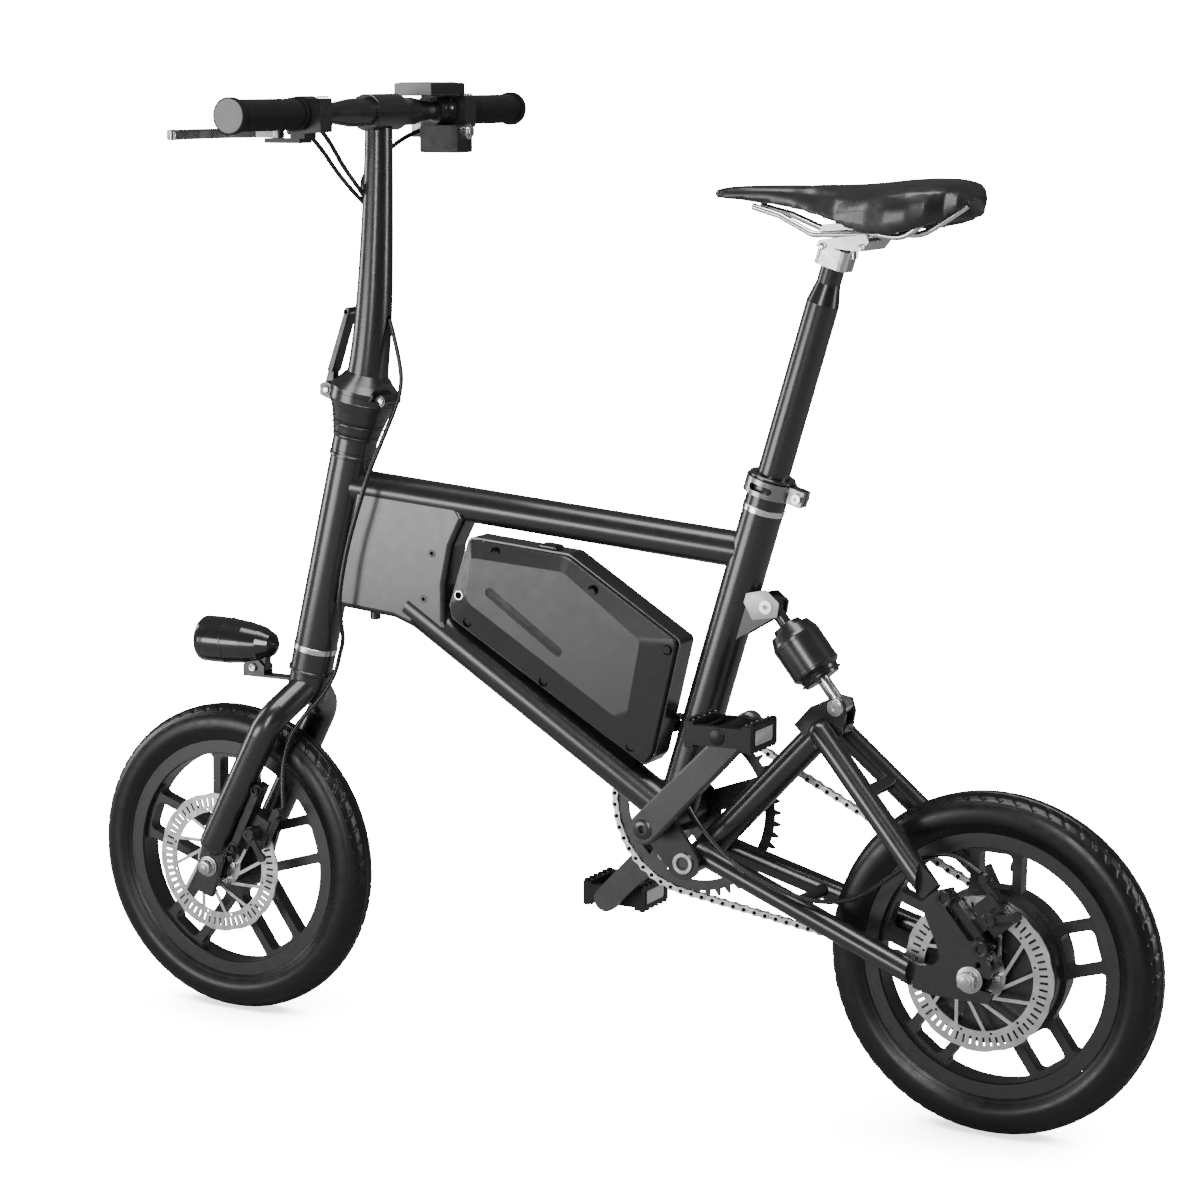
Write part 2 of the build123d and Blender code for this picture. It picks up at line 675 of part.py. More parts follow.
# --- fork -------------------------------------------------------------------
leg_radius = 16.5
leg_side = 57.0
leg_low = Vector(-453.5, leg_side, 207.0)
leg_knee = Vector(-378.0, leg_side, 352.0)
crown_top = Vector(-357.0, 0, 391.0)
with BuildPart() as fork:
    for sign in (-1, 1):
        low = Vector(leg_low.X, sign * leg_low.Y, leg_low.Z)
        knee = Vector(leg_knee.X, sign * leg_knee.Y, leg_knee.Z)
        with BuildLine() as leg_line:
            FilletPolyline(tuple(low), tuple(knee), tuple(crown_top), radius=34)
        with BuildSketch(Plane(origin=low, z_dir=knee - low)) as leg_section:
            Circle(leg_radius)
        sweep(leg_section.sketch, path=leg_line.wires()[0])
        with Locations(low):
            Sphere(leg_radius)
        lug = sorted((sign * front_dropout_side, sign * (front_dropout_side + front_dropout_thickness)))
        add_link(low, Vector(front_axle.X, 0, front_axle.Z), 15, 13.5, lug[0], lug[1])
    add_bar(on_head(-24), on_head(head_tube_start - part_gap), 23)
    add_bar(on_head(head_tube_start - part_gap), on_head(80), 90, mode=Mode.SUBTRACT)
    add_bar(on_head(-24), on_head(base_top - 14), steerer_radius)
    add_disc(front_axle, -80, 80, front_axle_radius, mode=Mode.SUBTRACT)
    for sign in (-1, 1):
        outside = sorted((sign * (front_dropout_side + front_dropout_thickness), sign * 90))
        add_disc(front_axle, outside[0], outside[1], 13, mode=Mode.SUBTRACT)
        inside = sorted((sign * (front_rotor_side + 2.5), sign * front_dropout_side))
        add_disc(front_axle, inside[0], inside[1], front_hub_radius + 4, mode=Mode.SUBTRACT)
pieces["fork"] = fork

# --- caliper shared by both brakes --------------------------------------------
barrel_radius = 8.5
barrel_low = 13.0
barrel_high = 22.0
arm_reach = 29.0


def caliper_plane(barrel, side, lean):
    """Plane on the rotor's middle, centred on the barrel; its x runs along the bracket."""
    way = (cos(radians(lean)), 0, sin(radians(lean)))
    return Plane(origin=(barrel[0], -side, barrel[1]), x_dir=way, z_dir=(0, -1, 0))


def add_block(plane, place, size, mode=Mode.ADD):
    """Block with its middle at a place in a plane's own directions."""
    with Locations(plane.location * Location(place)):
        Box(*size, mode=mode)


def add_stub(plane, place, radius, height, mode=Mode.ADD):
    """Round stub standing on a place, along a plane's normal."""
    with Locations(plane.location * Location(place)):
        Cylinder(radius, height, align=(Align.CENTER, Align.CENTER, Align.MIN), mode=mode)


def add_caliper(plane, axle, bolt_spacing, bolt_drop, bolt_shift, outer):
    """Mechanical caliper: bracket bar with two bolts, body, barrel and cable stop."""
    add_block(plane, (-2, 0, 3), (38, 25, 22))
    add_block(plane, (-2, -bolt_drop / 2, 8), (16, bolt_drop, 8))
    add_block(plane, (bolt_shift, -bolt_drop, (5 + outer) / 2), (bolt_spacing + 12, 9, outer - 5))
    add_stub(plane, (0, 0, barrel_low), barrel_radius, barrel_high - barrel_low)
    add_block(plane, (-24, 12, 9), (26, 7, 6))
    add_stub(plane, (-36, 15, 5), 4.5, 9)
    with Locations(Location((axle.X, plane.origin.Y, axle.Z), (90, 0, 0))):
        Cylinder(rotor_radius + 1.5, rotor_thickness + 2.4, mode=Mode.SUBTRACT)


def add_caliper_arm(plane, lean):
    """Arm that the brake cable pulls, on the caliper's barrel."""
    foot = barrel_high + 0.3
    add_stub(plane, (0, 0, foot), barrel_radius - 1, 4)
    arm_x = arm_reach * cos(radians(lean))
    arm_y = arm_reach * sin(radians(lean))
    with Locations(plane.location * Location((arm_x / 2, arm_y / 2, foot + 2), (0, 0, lean))):
        Box(arm_reach, 7, 4)
    add_stub(plane, (arm_x, arm_y, foot), 5, 4)


rear_caliper_plane = caliper_plane((483, 241), rear_rotor_side, -49)
with BuildPart() as rear_caliper:
    add_caliper(rear_caliper_plane, rear_axle, 61, 25, -12, dropout_side - rear_rotor_side)
pieces["rear_caliper"] = rear_caliper
with BuildPart() as rear_caliper_arm:
    add_caliper_arm(rear_caliper_plane, 62)
pieces["rear_caliper_arm"] = rear_caliper_arm

front_caliper_plane = caliper_plane((-404, 221), front_rotor_side, -115.6)
with BuildPart() as front_caliper:
    add_caliper(front_caliper_plane, front_axle, 78, 14, -11, 22)
    for along in (-50, 28):
        add_block(front_caliper_plane, (along, -23, 16), (9, 18, 9))
    add(fork.part, mode=Mode.SUBTRACT)
front_caliper.part = front_caliper.part.solids().sort_by(SortBy.VOLUME)[-1]
pieces["front_caliper"] = front_caliper
with BuildPart() as front_caliper_arm:
    add_caliper_arm(front_caliper_plane, 58)
pieces["front_caliper_arm"] = front_caliper_arm

# --- headlight --------------------------------------------------------------
lamp_z = 427.0
lamp_front = -500.0
lamp_pivot = Vector(-430, 0, 401)
lamp_plane = Plane(origin=(lamp_front, 0, lamp_z), x_dir=(0, 0, 1), z_dir=(1, 0, 0))
with BuildPart() as headlight_shell:
    add_turned(
        lamp_plane,
        [(0, 8), (22, 3), (22, 0), (25.5, 0), (26.3, 12), (25.8, 35), (23.6, 58), (19.5, 78), (13, 91), (5, 97), (0, 98)],
    )
    with Locations((-430, 0, 407)):
        Box(28, 12, 18)
    for sign in (-1, 1):
        with Locations((-430, sign * 7.7, 400)):
            Box(34, 3.4, 26, mode=Mode.SUBTRACT)
    add_disc(lamp_pivot, -20, 20, 2.5, mode=Mode.SUBTRACT)
pieces["headlight_shell"] = headlight_shell
with BuildPart() as headlight_lens:
    add_turned(lamp_plane, [(0, -2.5), (12, -1.5), (21.9, 0.8), (21.9, 3.0), (0, 7.8)])
pieces["headlight_lens"] = headlight_lens
with BuildPart() as headlight_bracket:
    for sign in (-1, 1):
        sides = sorted((sign * 6.3, sign * 9.0))
        add_plate([(-444, 391), (-444, 403), (-437, 409), (-423, 409), (-416, 403), (-416, 391)], sides[0], sides[1])
    with Locations((-411, 0, 391.5)):
        Box(66, 18, 3)
    add_disc(lamp_pivot, -10.5, 10.5, 2.45)
    add(fork.part, mode=Mode.SUBTRACT)
    add_bar(on_head(head_tube_start - part_gap), on_head(60), head_tube_radius + 1, mode=Mode.SUBTRACT)
headlight_bracket.part = headlight_bracket.part.solids().sort_by(SortBy.VOLUME)[-1]
pieces["headlight_bracket"] = headlight_bracket

# --- rear arm ---------------------------------------------------------------
arm_joint = Vector(268.0, 0, 396.0)
pivot_tube_half = plate_low - 0.5
stay_front_side = 22.0
lower_front = Vector(140.0, stay_front_side, 258.5)
lower_rear = Vector(401.0, dropout_side, 172.0)
upper_front = Vector(276.0, 20.0, 400.0)
upper_rear = Vector(417.0, dropout_side, 259.5)
lower_bridge = Vector(257.9, 0, 219.5)
upper_bridge = Vector(333.0, 0, 344.3)


def mirrored_side(point, sign):
    """The same point on the left (-1) or right (1) side."""
    return Vector(point.X, sign * point.Y, point.Z)


with BuildPart() as swingarm_tube:
    add_disc(pivot, -pivot_tube_half, pivot_tube_half, 15)
    add_bar(pivot, arm_joint, arm_tube_radius)
    for sign in (-1, 1):
        ear = sorted((sign * tab_low, sign * (tab_low + tab_thickness)))
        add_plate([(243, 403), (262, 424), (285, 434), (297, 432), (301, 419), (297, 398), (268, 380)], ear[0], ear[1])
    add_plate([(243, 403), (262, 417), (301, 407), (297, 398), (268, 380)], -tab_low, tab_low)
    add_disc(damper_foot, -30, 30, damper_bolt_radius, mode=Mode.SUBTRACT)
    add_disc(pivot, -50, 50, pivot_bolt_radius + running_clearance, mode=Mode.SUBTRACT)
pieces["swingarm_tube"] = swingarm_tube

with BuildPart() as lower_stays:
    for sign in (-1, 1):
        add_bar(mirrored_side(lower_front, sign), mirrored_side(lower_rear, sign), stay_radius)
    cross = (lower_bridge.X - lower_front.X) / (lower_rear.X - lower_front.X)
    reach = stay_front_side + cross * (dropout_side - stay_front_side)
    add_disc(lower_bridge, -reach, reach, 7)
    add_disc(pivot, -50, 50, 15.05, mode=Mode.SUBTRACT)
    add_bar(pivot, arm_joint, arm_tube_radius, mode=Mode.SUBTRACT)
    for sign in (-1, 1):
        outside = sorted((sign * (dropout_side - 0.0), sign * (dropout_side + 40)))
        add_plate([(396, 120), (396, 230), (440, 230), (440, 120)], outside[0], outside[1], mode=Mode.SUBTRACT)
pieces["lower_stays"] = lower_stays

with BuildPart() as upper_stays:
    for sign in (-1, 1):
        add_bar(mirrored_side(upper_front, sign), mirrored_side(upper_rear, sign), stay_radius)
        with Locations(mirrored_side(upper_front, sign)):
            Sphere(stay_radius)
    cross = (upper_bridge.X - upper_front.X) / (upper_rear.X - upper_front.X)
    reach = upper_front.Y + cross * (upper_rear.Y - upper_front.Y)
    add_disc(upper_bridge, -reach, reach, 7)
    add(swingarm_tube.part, mode=Mode.SUBTRACT)
    for sign in (-1, 1):
        outside = sorted((sign * dropout_side, sign * (dropout_side + 40)))
        add_plate([(404, 230), (404, 290), (450, 290), (450, 230)], outside[0], outside[1], mode=Mode.SUBTRACT)
pieces["upper_stays"] = upper_stays

left_dropout = [
    (401.4, 160.4),
    (420.5, 155.5),
    (483.1, 154.3),
    (487.6, 165.0),
    (463.0, 169.8),
    (463.0, 184.2),
    (484.2, 179.5),
    (487.1, 188.4),
    (478.0, 199.0),
    (486.6, 212.8),
    (470.0, 217.0),
    (441.0, 252.0),
    (443.5, 268.6),
    (423.4, 262.1),
    (408.5, 248.3),
    (425.9, 209.2),
    (430.9, 194.8),
    (423.1, 186.2),
    (405.4, 184.0),
]
right_dropout = left_dropout[:8] + [(478.0, 199.0), (455.0, 214.0), (430.0, 262.0)] + left_dropout[14:]
rear_bolts = [(436.0, 257.5), (475.8, 210.7)]
with BuildPart() as dropout_plates:
    for sign, outline in ((-1, left_dropout), (1, right_dropout)):
        sides = sorted((sign * (dropout_side + 0.02), sign * (dropout_side + dropout_thickness)))
        add_plate(outline, sides[0], sides[1], corner=2)
        add_disc(rear_axle, sides[0], sides[1], rear_axle_radius + 0.1, mode=Mode.SUBTRACT)
    for x, z in rear_bolts:
        add_disc(Vector(x, 0, z), -dropout_side - dropout_thickness, -dropout_side, 7)
    for x, z in rear_bolts:
        add_disc(Vector(x, 0, z), -80, -dropout_side, 2.5, mode=Mode.SUBTRACT)
    with BuildSketch(side_plane(-dropout_side)) as slot:
        with Locations(Location((452, 234, 0), (0, 0, -50))):
            SlotOverall(44, 9)
    extrude(slot.sketch, amount=10, dir=(0, -1, 0), mode=Mode.SUBTRACT)
    add_disc(Vector(471.2, 0, 192.8), -80, -dropout_side, 3, mode=Mode.SUBTRACT)
pieces["dropout_plates"] = dropout_plates

# --- damper -----------------------------------------------------------------
damper_plane = Plane(origin=damper_top, x_dir=(0, 1, 0), z_dir=damper_way)
body_start = 31.0
body_end = body_start + damper_body_length
rod_inside = 30.0
with BuildPart() as shock_cylinder:
    add_disc(damper_top, -eye_half, eye_half, 9.5)
    add_turned(
        damper_plane,
        [
            (0, 0),
            (damper_rod_radius, 0),
            (damper_rod_radius, body_start - 6),
            (15, body_start - 6),
            (17, body_start),
            (22, body_start),
            (25, body_start + 8),
            (damper_body_radius, body_start + 11),
            (damper_body_radius, body_end - 12),
            (22, body_end - 8),
            (20, body_end),
            (0, body_end),
        ],
    )
    add_bar(
        damper_top + damper_way * (body_end - rod_inside - 24),
        damper_top + damper_way * (body_end + 1),
        damper_rod_radius + running_clearance,
        mode=Mode.SUBTRACT,
    )
    add_disc(damper_top, -12, 12, damper_bolt_radius + running_clearance, mode=Mode.SUBTRACT)
pieces["shock_cylinder"] = shock_cylinder

with BuildPart() as shock_rod:
    add_disc(damper_foot, -eye_half, eye_half, 9.5)
    add_bar(damper_top + damper_way * (body_end - rod_inside), damper_foot, damper_rod_radius)
    add_disc(damper_foot, -12, 12, damper_bolt_radius + open_pivot_clearance, mode=Mode.SUBTRACT)
pieces["shock_rod"] = shock_rod


def add_bolt(centre, side_low, side_high, radius, head_radius, head_height):
    """Bolt across the bicycle with a socket head on the left and a nut on the right."""
    add_disc(centre, side_low, side_high, radius)
    add_disc(centre, side_low - head_height, side_low, head_radius)
    add_disc(centre, side_high, side_high + head_height, head_radius)
    with BuildSketch(disc_plane(centre, side_low - head_height + 2.5)) as socket:
        RegularPolygon(radius * 0.75, 6)
    extrude(socket.sketch, amount=3, dir=(0, -1, 0), mode=Mode.SUBTRACT)


tab_high = tab_low + tab_thickness
with BuildPart() as frame_fasteners:
    add_bolt(damper_top, -tab_high, tab_high, damper_bolt_radius, 7, 4)
    add_disc(pivot, -pivot_plate_side, pivot_plate_side, pivot_bolt_radius)
    add_disc(pivot, -pivot_plate_side - 2.5, -pivot_plate_side, 11, 7.5)
    add_disc(pivot, pivot_plate_side, pivot_plate_side + 2.0, 11, 7.5)
    add_bolt(bolt_middle, -8.5, 8.5, 2.95, 5, 4)
    for x, z in screw_places:
        for sign in (-1, 1):
            head = sorted((sign * (battery_half_width + cover_thickness - 3), sign * (battery_half_width + cover_thickness)))
            add_disc(Vector(x, 0, z), head[0], head[1], 3.6)
pieces["frame_fasteners"] = frame_fasteners

with BuildPart() as swingarm_fasteners:
    add_bolt(damper_foot, -tab_high, tab_high, damper_bolt_radius, 7, 4)
    for x, z in rear_bolts:
        add_disc(Vector(x, 0, z), -dropout_side - dropout_thickness - 4, -dropout_side - dropout_thickness, 4.6)
        add_disc(Vector(x, 0, z), -dropout_side - dropout_thickness, -dropout_side, 2.45)
pieces["swingarm_fasteners"] = swingarm_fasteners

# --- drive ------------------------------------------------------------------
def pitch_radius(teeth):
    """Radius of the circle through the chain's pins."""
    return chain_pitch / (2 * sin(pi / teeth))


def add_teeth(centre, teeth, phase, root):
    """Toothed ring: a tooth stands midway between each two chain rollers."""
    radius = pitch_radius(teeth)
    tooth = [(-4.4, 3.2), (0, 2.0), (3.4, 0.8), (3.4, -0.8), (0, -2.0), (-4.4, -3.2)]
    step = 360 / teeth
    with BuildSketch(disc_plane(centre, chain_line + ring_thickness / 2)) as ring:
        Circle(radius - 4.15)
        with PolarLocations(radius * cos(radians(step / 2)), teeth, start_angle=phase + step / 2):
            Polygon(*tooth, align=None)
        Circle(root, mode=Mode.SUBTRACT)
    extrude(ring.sketch, amount=ring_thickness, dir=(0, -1, 0))


ring_radius = pitch_radius(chainring_teeth)
sprocket_radius = pitch_radius(sprocket_teeth)
centres = rear_axle - bracket
centre_distance = hypot(centres.X, centres.Z)
centre_lean = degrees(atan2(centres.Z, centres.X))
wrap = degrees(atan2(ring_radius - sprocket_radius, sqrt(centre_distance**2 - (ring_radius - sprocket_radius) ** 2)))
# The upper run leaves the chainring and the sprocket at the same angle, and so does the lower run.
upper_angle = centre_lean + 90 - wrap
lower_angle = centre_lean - 90 + wrap
run_length = sqrt(centre_distance**2 - (ring_radius - sprocket_radius) ** 2)
ring_step = 360 / chainring_teeth
sprocket_step = 360 / sprocket_teeth


def ring_point(angle, radius, centre):
    """Point at an angle on a circle about an axle, in the lengthwise plane."""
    return (centre.X + radius * cos(radians(angle)), centre.Z + radius * sin(radians(angle)))


# Pins: round the chainring from its upper to its lower tangent, then along each run.
ring_turn = 360 - (upper_angle - lower_angle)
ring_pins = int(ring_turn / ring_step)
ring_rest = (ring_turn - ring_pins * ring_step) / 2
first_angle = upper_angle + ring_rest
pins = [ring_point(first_angle + k * ring_step, ring_radius, bracket) for k in range(ring_pins + 1)]
sprocket_turn = upper_angle - lower_angle
sprocket_pins = int(sprocket_turn / sprocket_step)
sprocket_rest = (sprocket_turn - sprocket_pins * sprocket_step) / 2
sprocket_first = lower_angle + sprocket_rest
sprocket_list = [
    ring_point(sprocket_first + k * sprocket_step, sprocket_radius, rear_axle) for k in range(sprocket_pins + 1)
]


def run_pins(start, end):
    """Evenly spread pins along a straight run, without its two ends."""
    length = hypot(end[0] - start[0], end[1] - start[1])
    count = round(length / chain_pitch)
    steps = [k / count for k in range(1, count)]
    return [(start[0] + t * (end[0] - start[0]), start[1] + t * (end[1] - start[1])) for t in steps]


pins += run_pins(pins[-1], sprocket_list[0]) + sprocket_list
pins += run_pins(pins[-1], pins[0])
print("chain links", len(pins))

plate_thickness = 1.0
inner_gap = 3.4
roller_radius = 3.85


def add_chain_link(start, end, inner):
    """One link: two waisted plates, with rollers on an inner link and pins on an outer one."""
    low = inner_gap / 2 if inner else inner_gap / 2 + plate_thickness + 0.1
    high = low + plate_thickness
    middle = ((start[0] + end[0]) / 2, (start[1] + end[1]) / 2)
    lean = degrees(atan2(end[1] - start[1], end[0] - start[0]))
    length = hypot(end[0] - start[0], end[1] - start[1])
    for sign in (-1, 1):
        top = chain_line + max(sign * low, sign * high)
        with BuildSketch(side_plane(top)) as plate:
            with Locations(start, end):
                Circle(4.1)
            with Locations(Location((middle[0], middle[1], 0), (0, 0, lean))):
                Rectangle(length, 5.6)
            if inner:
                with Locations(start, end):
                    Circle(1.9, mode=Mode.SUBTRACT)
        extrude(plate.sketch, amount=plate_thickness, dir=(0, -1, 0))
    for point in (start, end):
        centre = Vector(point[0], 0, point[1])
        if inner:
            add_disc(centre, chain_line - low, chain_line + low, roller_radius, 1.9)
        else:
            add_disc(centre, chain_line - high - 0.3, chain_line + high + 0.3, 1.8)


links = []
for number, start in enumerate(pins):
    end = pins[(number + 1) % len(pins)]
    with BuildPart() as link:
        add_chain_link(start, end, number % 2 == 0)
    links.append(link.part)
with BuildPart() as chain:
    add(links)
pieces["chain"] = chain

with BuildPart() as chainring:
    add_teeth(bracket, chainring_teeth, first_angle, 82)
    arm_angles = PolarLocations(0, 5, start_angle=20)
    with BuildSketch(disc_plane(bracket, chain_line + ring_thickness / 2)) as spider:
        with arm_angles:
            with Locations((52, 0)):
                Rectangle(66, 24)
        Circle(30)
        Circle(spindle_radius + 0.02, mode=Mode.SUBTRACT)
    extrude(spider.sketch, amount=ring_thickness, dir=(0, -1, 0))
pieces["chainring"] = chainring

with BuildPart() as freewheel_sprocket:
    add_teeth(rear_axle, sprocket_teeth, sprocket_first, boss_radius + running_clearance)
    add_disc(rear_axle, chain_line + ring_thickness / 2, chain_line + ring_thickness / 2 + 2.5, 27, boss_radius + 0.05)
pieces["freewheel_sprocket"] = freewheel_sprocket

crank_outer = crank_inner_side + crank_thickness
crank_way = Vector(cos(radians(crank_angle)), 0, sin(radians(crank_angle)))
left_pedal_at = bracket + crank_way * crank_length
right_pedal_at = bracket - crank_way * crank_length
with BuildPart() as crankset:
    add_disc(bracket, -crank_outer, crank_outer, spindle_radius)
    for sign, end in ((-1, left_pedal_at), (1, right_pedal_at)):
        sides = sorted((sign * crank_inner_side, sign * crank_outer))
        add_link(bracket, end, crank_width / 2 + 1, crank_width / 2 - 2, sides[0], sides[1])
        face = crankset.faces().sort_by(Axis.Y)[0 if sign < 0 else -1]
        chamfer(face.edges(), 2.5)
        spindle = sorted((sign * (crank_inner_side + 3), sign * (crank_outer + 4 + pedal_width - 9)))
        add_disc(end, spindle[0], spindle[1], pedal_spindle_radius)
        collar = sorted((sign * crank_outer, sign * (crank_outer + 3)))
        add_disc(end, collar[0], collar[1], 7.5)
        hub = sorted((sign * (shell_width / 2 + 0.5), sign * crank_inner_side))
        bolt = sorted((sign * crank_outer, sign * (crank_outer + 1.5)))
        add_disc(bracket, bolt[0], bolt[1], 7.5)
    add_disc(bracket, chain_line + ring_thickness / 2 + 0.02, crank_inner_side, 20)
    for side_low, side_high in ((-crank_outer - 2, -crank_outer + 3), (crank_outer - 3, crank_outer + 2)):
        with BuildSketch(disc_plane(bracket, side_high)) as socket:
            RegularPolygon(4.6, 6)
        extrude(socket.sketch, amount=side_high - side_low, dir=(0, -1, 0), mode=Mode.SUBTRACT)
pieces["crankset"] = crankset


def add_pedal(centre, sign):
    """Flat platform pedal: barrel, toothed rails, end plates and two cross bars."""
    low = crank_outer + 4
    high = low + pedal_width
    sides = sorted((sign * low, sign * high))
    middle = (sides[0] + sides[1]) / 2
    half = pedal_length / 2
    add_disc(centre, sides[0], sides[1], 10)
    for along in (-1, 1):
        with Locations((centre.X + along * (half - 5), middle, centre.Z)):
            Box(10, pedal_width, pedal_height)
    for across in (sides[0] + 4, sides[1] - 4):
        with Locations((centre.X, across, centre.Z)):
            Box(pedal_length, 8, pedal_height - 6)
    for along in (-19, 19):
        with Locations((centre.X + along, middle, centre.Z)):
            Box(4, pedal_width, pedal_height - 10)
    tooth_count = 6
    for along in (-1, 1):
        for k in range(tooth_count):
            place = sides[0] + (k + 0.5) * pedal_width / tooth_count
            with Locations((centre.X + along * (half - 2.5), place, centre.Z)):
                Box(5, 5, pedal_height + 4)
    bore = sorted((sign * (low - 1), sign * (high - 8)))
    add_disc(centre, bore[0], bore[1], pedal_spindle_radius + running_clearance, mode=Mode.SUBTRACT)


with BuildPart() as pedal_left:
    add_pedal(left_pedal_at, -1)
pieces["pedal_left"] = pedal_left
with BuildPart() as pedal_right:
    add_pedal(right_pedal_at, 1)
pieces["pedal_right"] = pedal_right

# --- folding post -----------------------------------------------------------
hinge_pin = on_head(base_top, hinge_back)
base_low = head_top + part_gap
base_radius = 37.5
knuckle_radius = 6.5
inner_knuckle = 8.0
latch_pivot = Vector(-326.5, 0, 720.0)
with BuildPart() as stem_base:
    add_turned(
        head_plane(0),
        [
            (steerer_radius + running_clearance, base_low),
            (24.6, base_low),
            (24.6, base_low + 14),
            (25.6, base_low + 16),
            (27.5, base_low + 26),
            (32, base_low + 44),
            (base_radius, base_top - 8),
            (base_radius, base_top),
            (steerer_radius + running_clearance, base_top),
        ],
    )
    with BuildSketch(head_plane(base_top - 1.5)) as relief:
        with Locations((hinge_back + 4, 0)):
            Rectangle(22, 90)
    extrude(relief.sketch, amount=4, dir=(head_sin, 0, head_cos), mode=Mode.SUBTRACT)
    for sign in (-1, 1):
        ear = sorted((sign * inner_knuckle, sign * 17))
        add_disc(hinge_pin, ear[0], ear[1], knuckle_radius)
    add_disc(hinge_pin, -inner_knuckle, inner_knuckle, knuckle_radius + 0.6, mode=Mode.SUBTRACT)
    with BuildSketch(head_plane(base_top - 1.5 - 6)) as web_slot:
        with Locations((hinge_back - 6, 0)):
            Rectangle(8, 2 * inner_knuckle)
    extrude(web_slot.sketch, amount=8, dir=(head_sin, 0, head_cos), mode=Mode.SUBTRACT)
    add_disc(hinge_pin, -17, 17, hinge_pin_radius)
    for sign in (-1, 1):
        ear = sorted((sign * 6.2, sign * 10.5))
        add_plate([(-334, 714), (-334, 726), (-326, 729), (-312, 722), (-312, 706)], ear[0], ear[1])
    add_disc(latch_pivot, -10.5, 10.5, 2.5)
    with BuildSketch(head_plane(base_top - 30)) as latch_slot:
        with Locations((-base_radius - 4, 0)):
            Rectangle(20, 12.4)
    extrude(latch_slot.sketch, amount=31, dir=(head_sin, 0, head_cos), mode=Mode.SUBTRACT)
    add_disc(latch_pivot, -10.5, 10.5, 2.5)
pieces["stem_base"] = stem_base

stem_sections = [
    (on_head(350), 22.6, (head_sin, 0, head_cos)),
    (Vector(-271.0, 0, 792.2), 20.6, (0.09, 0, 1)),
    (Vector(-266.0, 0, 858.3), 18.5, (0.05, 0, 1)),
    (Vector(-262.8, 0, 925.0), 16.6, (0.03, 0, 1)),
    (Vector(-260.5, 0, 1004.0), 14.9, (0.03, 0, 1)),
]
with BuildPart() as stem_post:
    for shrink, mode in ((0.0, Mode.ADD), (2.4, Mode.SUBTRACT)):
        circles = []
        for place, radius, way in stem_sections:
            with BuildSketch(Plane(origin=place, x_dir=(0, 1, 0), z_dir=way)) as circle:
                Circle(radius - shrink)
            circles.append(circle.sketch.faces()[0])
        loft(circles, mode=mode)
    add_turned(
        head_plane(0),
        [(0, base_top + 0.4), (base_radius, base_top + 0.4), (base_radius, base_top + 5), (31, base_top + 12), (22.6, base_top + 22), (0, base_top + 22)],
    )
    add_bar(on_head(base_top + 6), on_head(base_top + 24), 18, mode=Mode.SUBTRACT)
    with BuildSketch(head_plane(base_top)) as cut:
        with Locations((hinge_back + 14, 0)):
            Rectangle(41, 90)
    extrude(cut.sketch, amount=17, dir=(head_sin, 0, head_cos), mode=Mode.SUBTRACT)
    with BuildSketch(head_plane(base_top + 0.4)) as web:
        with Locations((hinge_back - 8, 0)):
            Rectangle(16, 2 * inner_knuckle - 0.6)
    extrude(web.sketch, amount=6, dir=(head_sin, 0, head_cos))
    add_disc(hinge_pin, -inner_knuckle + 0.3, inner_knuckle - 0.3, knuckle_radius)
    add_disc(hinge_pin, -inner_knuckle, inner_knuckle, hinge_pin_radius + running_clearance, mode=Mode.SUBTRACT)
    with BuildSketch(head_plane(base_top)) as latch_slot:
        with Locations((-base_radius - 4, 0)):
            Rectangle(20, 12.4)
    extrude(latch_slot.sketch, amount=12, dir=(head_sin, 0, head_cos), mode=Mode.SUBTRACT)
    add_bar((-262, 0, 801), (-240, 0, 796), 5.0, mode=Mode.SUBTRACT)
    add_bar((-270, -4, 932), (-287, -14, 934), 5.0, mode=Mode.SUBTRACT)
    add_bar((bar_x, -40, bar_z), (bar_x, 40, bar_z), 19.5, mode=Mode.SUBTRACT)
stem_post.part = stem_post.part.solids().sort_by(SortBy.VOLUME)[-1]
pieces["stem_post"] = stem_post

latch_top = Vector(-298.5, 0, 808)
with BuildPart() as stem_latch:
    add_disc(latch_pivot, -5.8, 5.8, 6)
    add_link(latch_pivot, Vector(-321.5, 0, 744), 5.5, 3.2, -5.8, 5.8)
    add_link(Vector(-321.5, 0, 742), latch_top, 3.2, 2.6, -9, 9)
    add_disc(latch_pivot, -10, 10, 2.55, mode=Mode.SUBTRACT)
pieces["stem_latch"] = stem_latch

clamp_half = 29.0
grip_start = bar_half_width - grip_length
with BuildPart() as handlebar:
    add_disc(Vector(bar_x, 0, bar_z), -bar_half_width + 3, bar_half_width - 3, bar_radius, bar_radius - 2)
    with BuildSketch(Plane(origin=(bar_x, 0, bar_z), x_dir=(0, 1, 0), z_dir=(1, 0, 0))) as swell:
        Polygon(
            (-95, bar_radius - 1),
            (95, bar_radius - 1),
            (95, bar_radius),
            (60, bar_centre_radius),
            (-60, bar_centre_radius),
            (-95, bar_radius),
            align=None,
        )
    revolve(swell.sketch, axis=Axis((bar_x, 0, bar_z), (0, 1, 0)))
    add_disc(Vector(bar_x, 0, bar_z), -clamp_half, clamp_half, 19.4, 12)
pieces["handlebar"] = handlebar

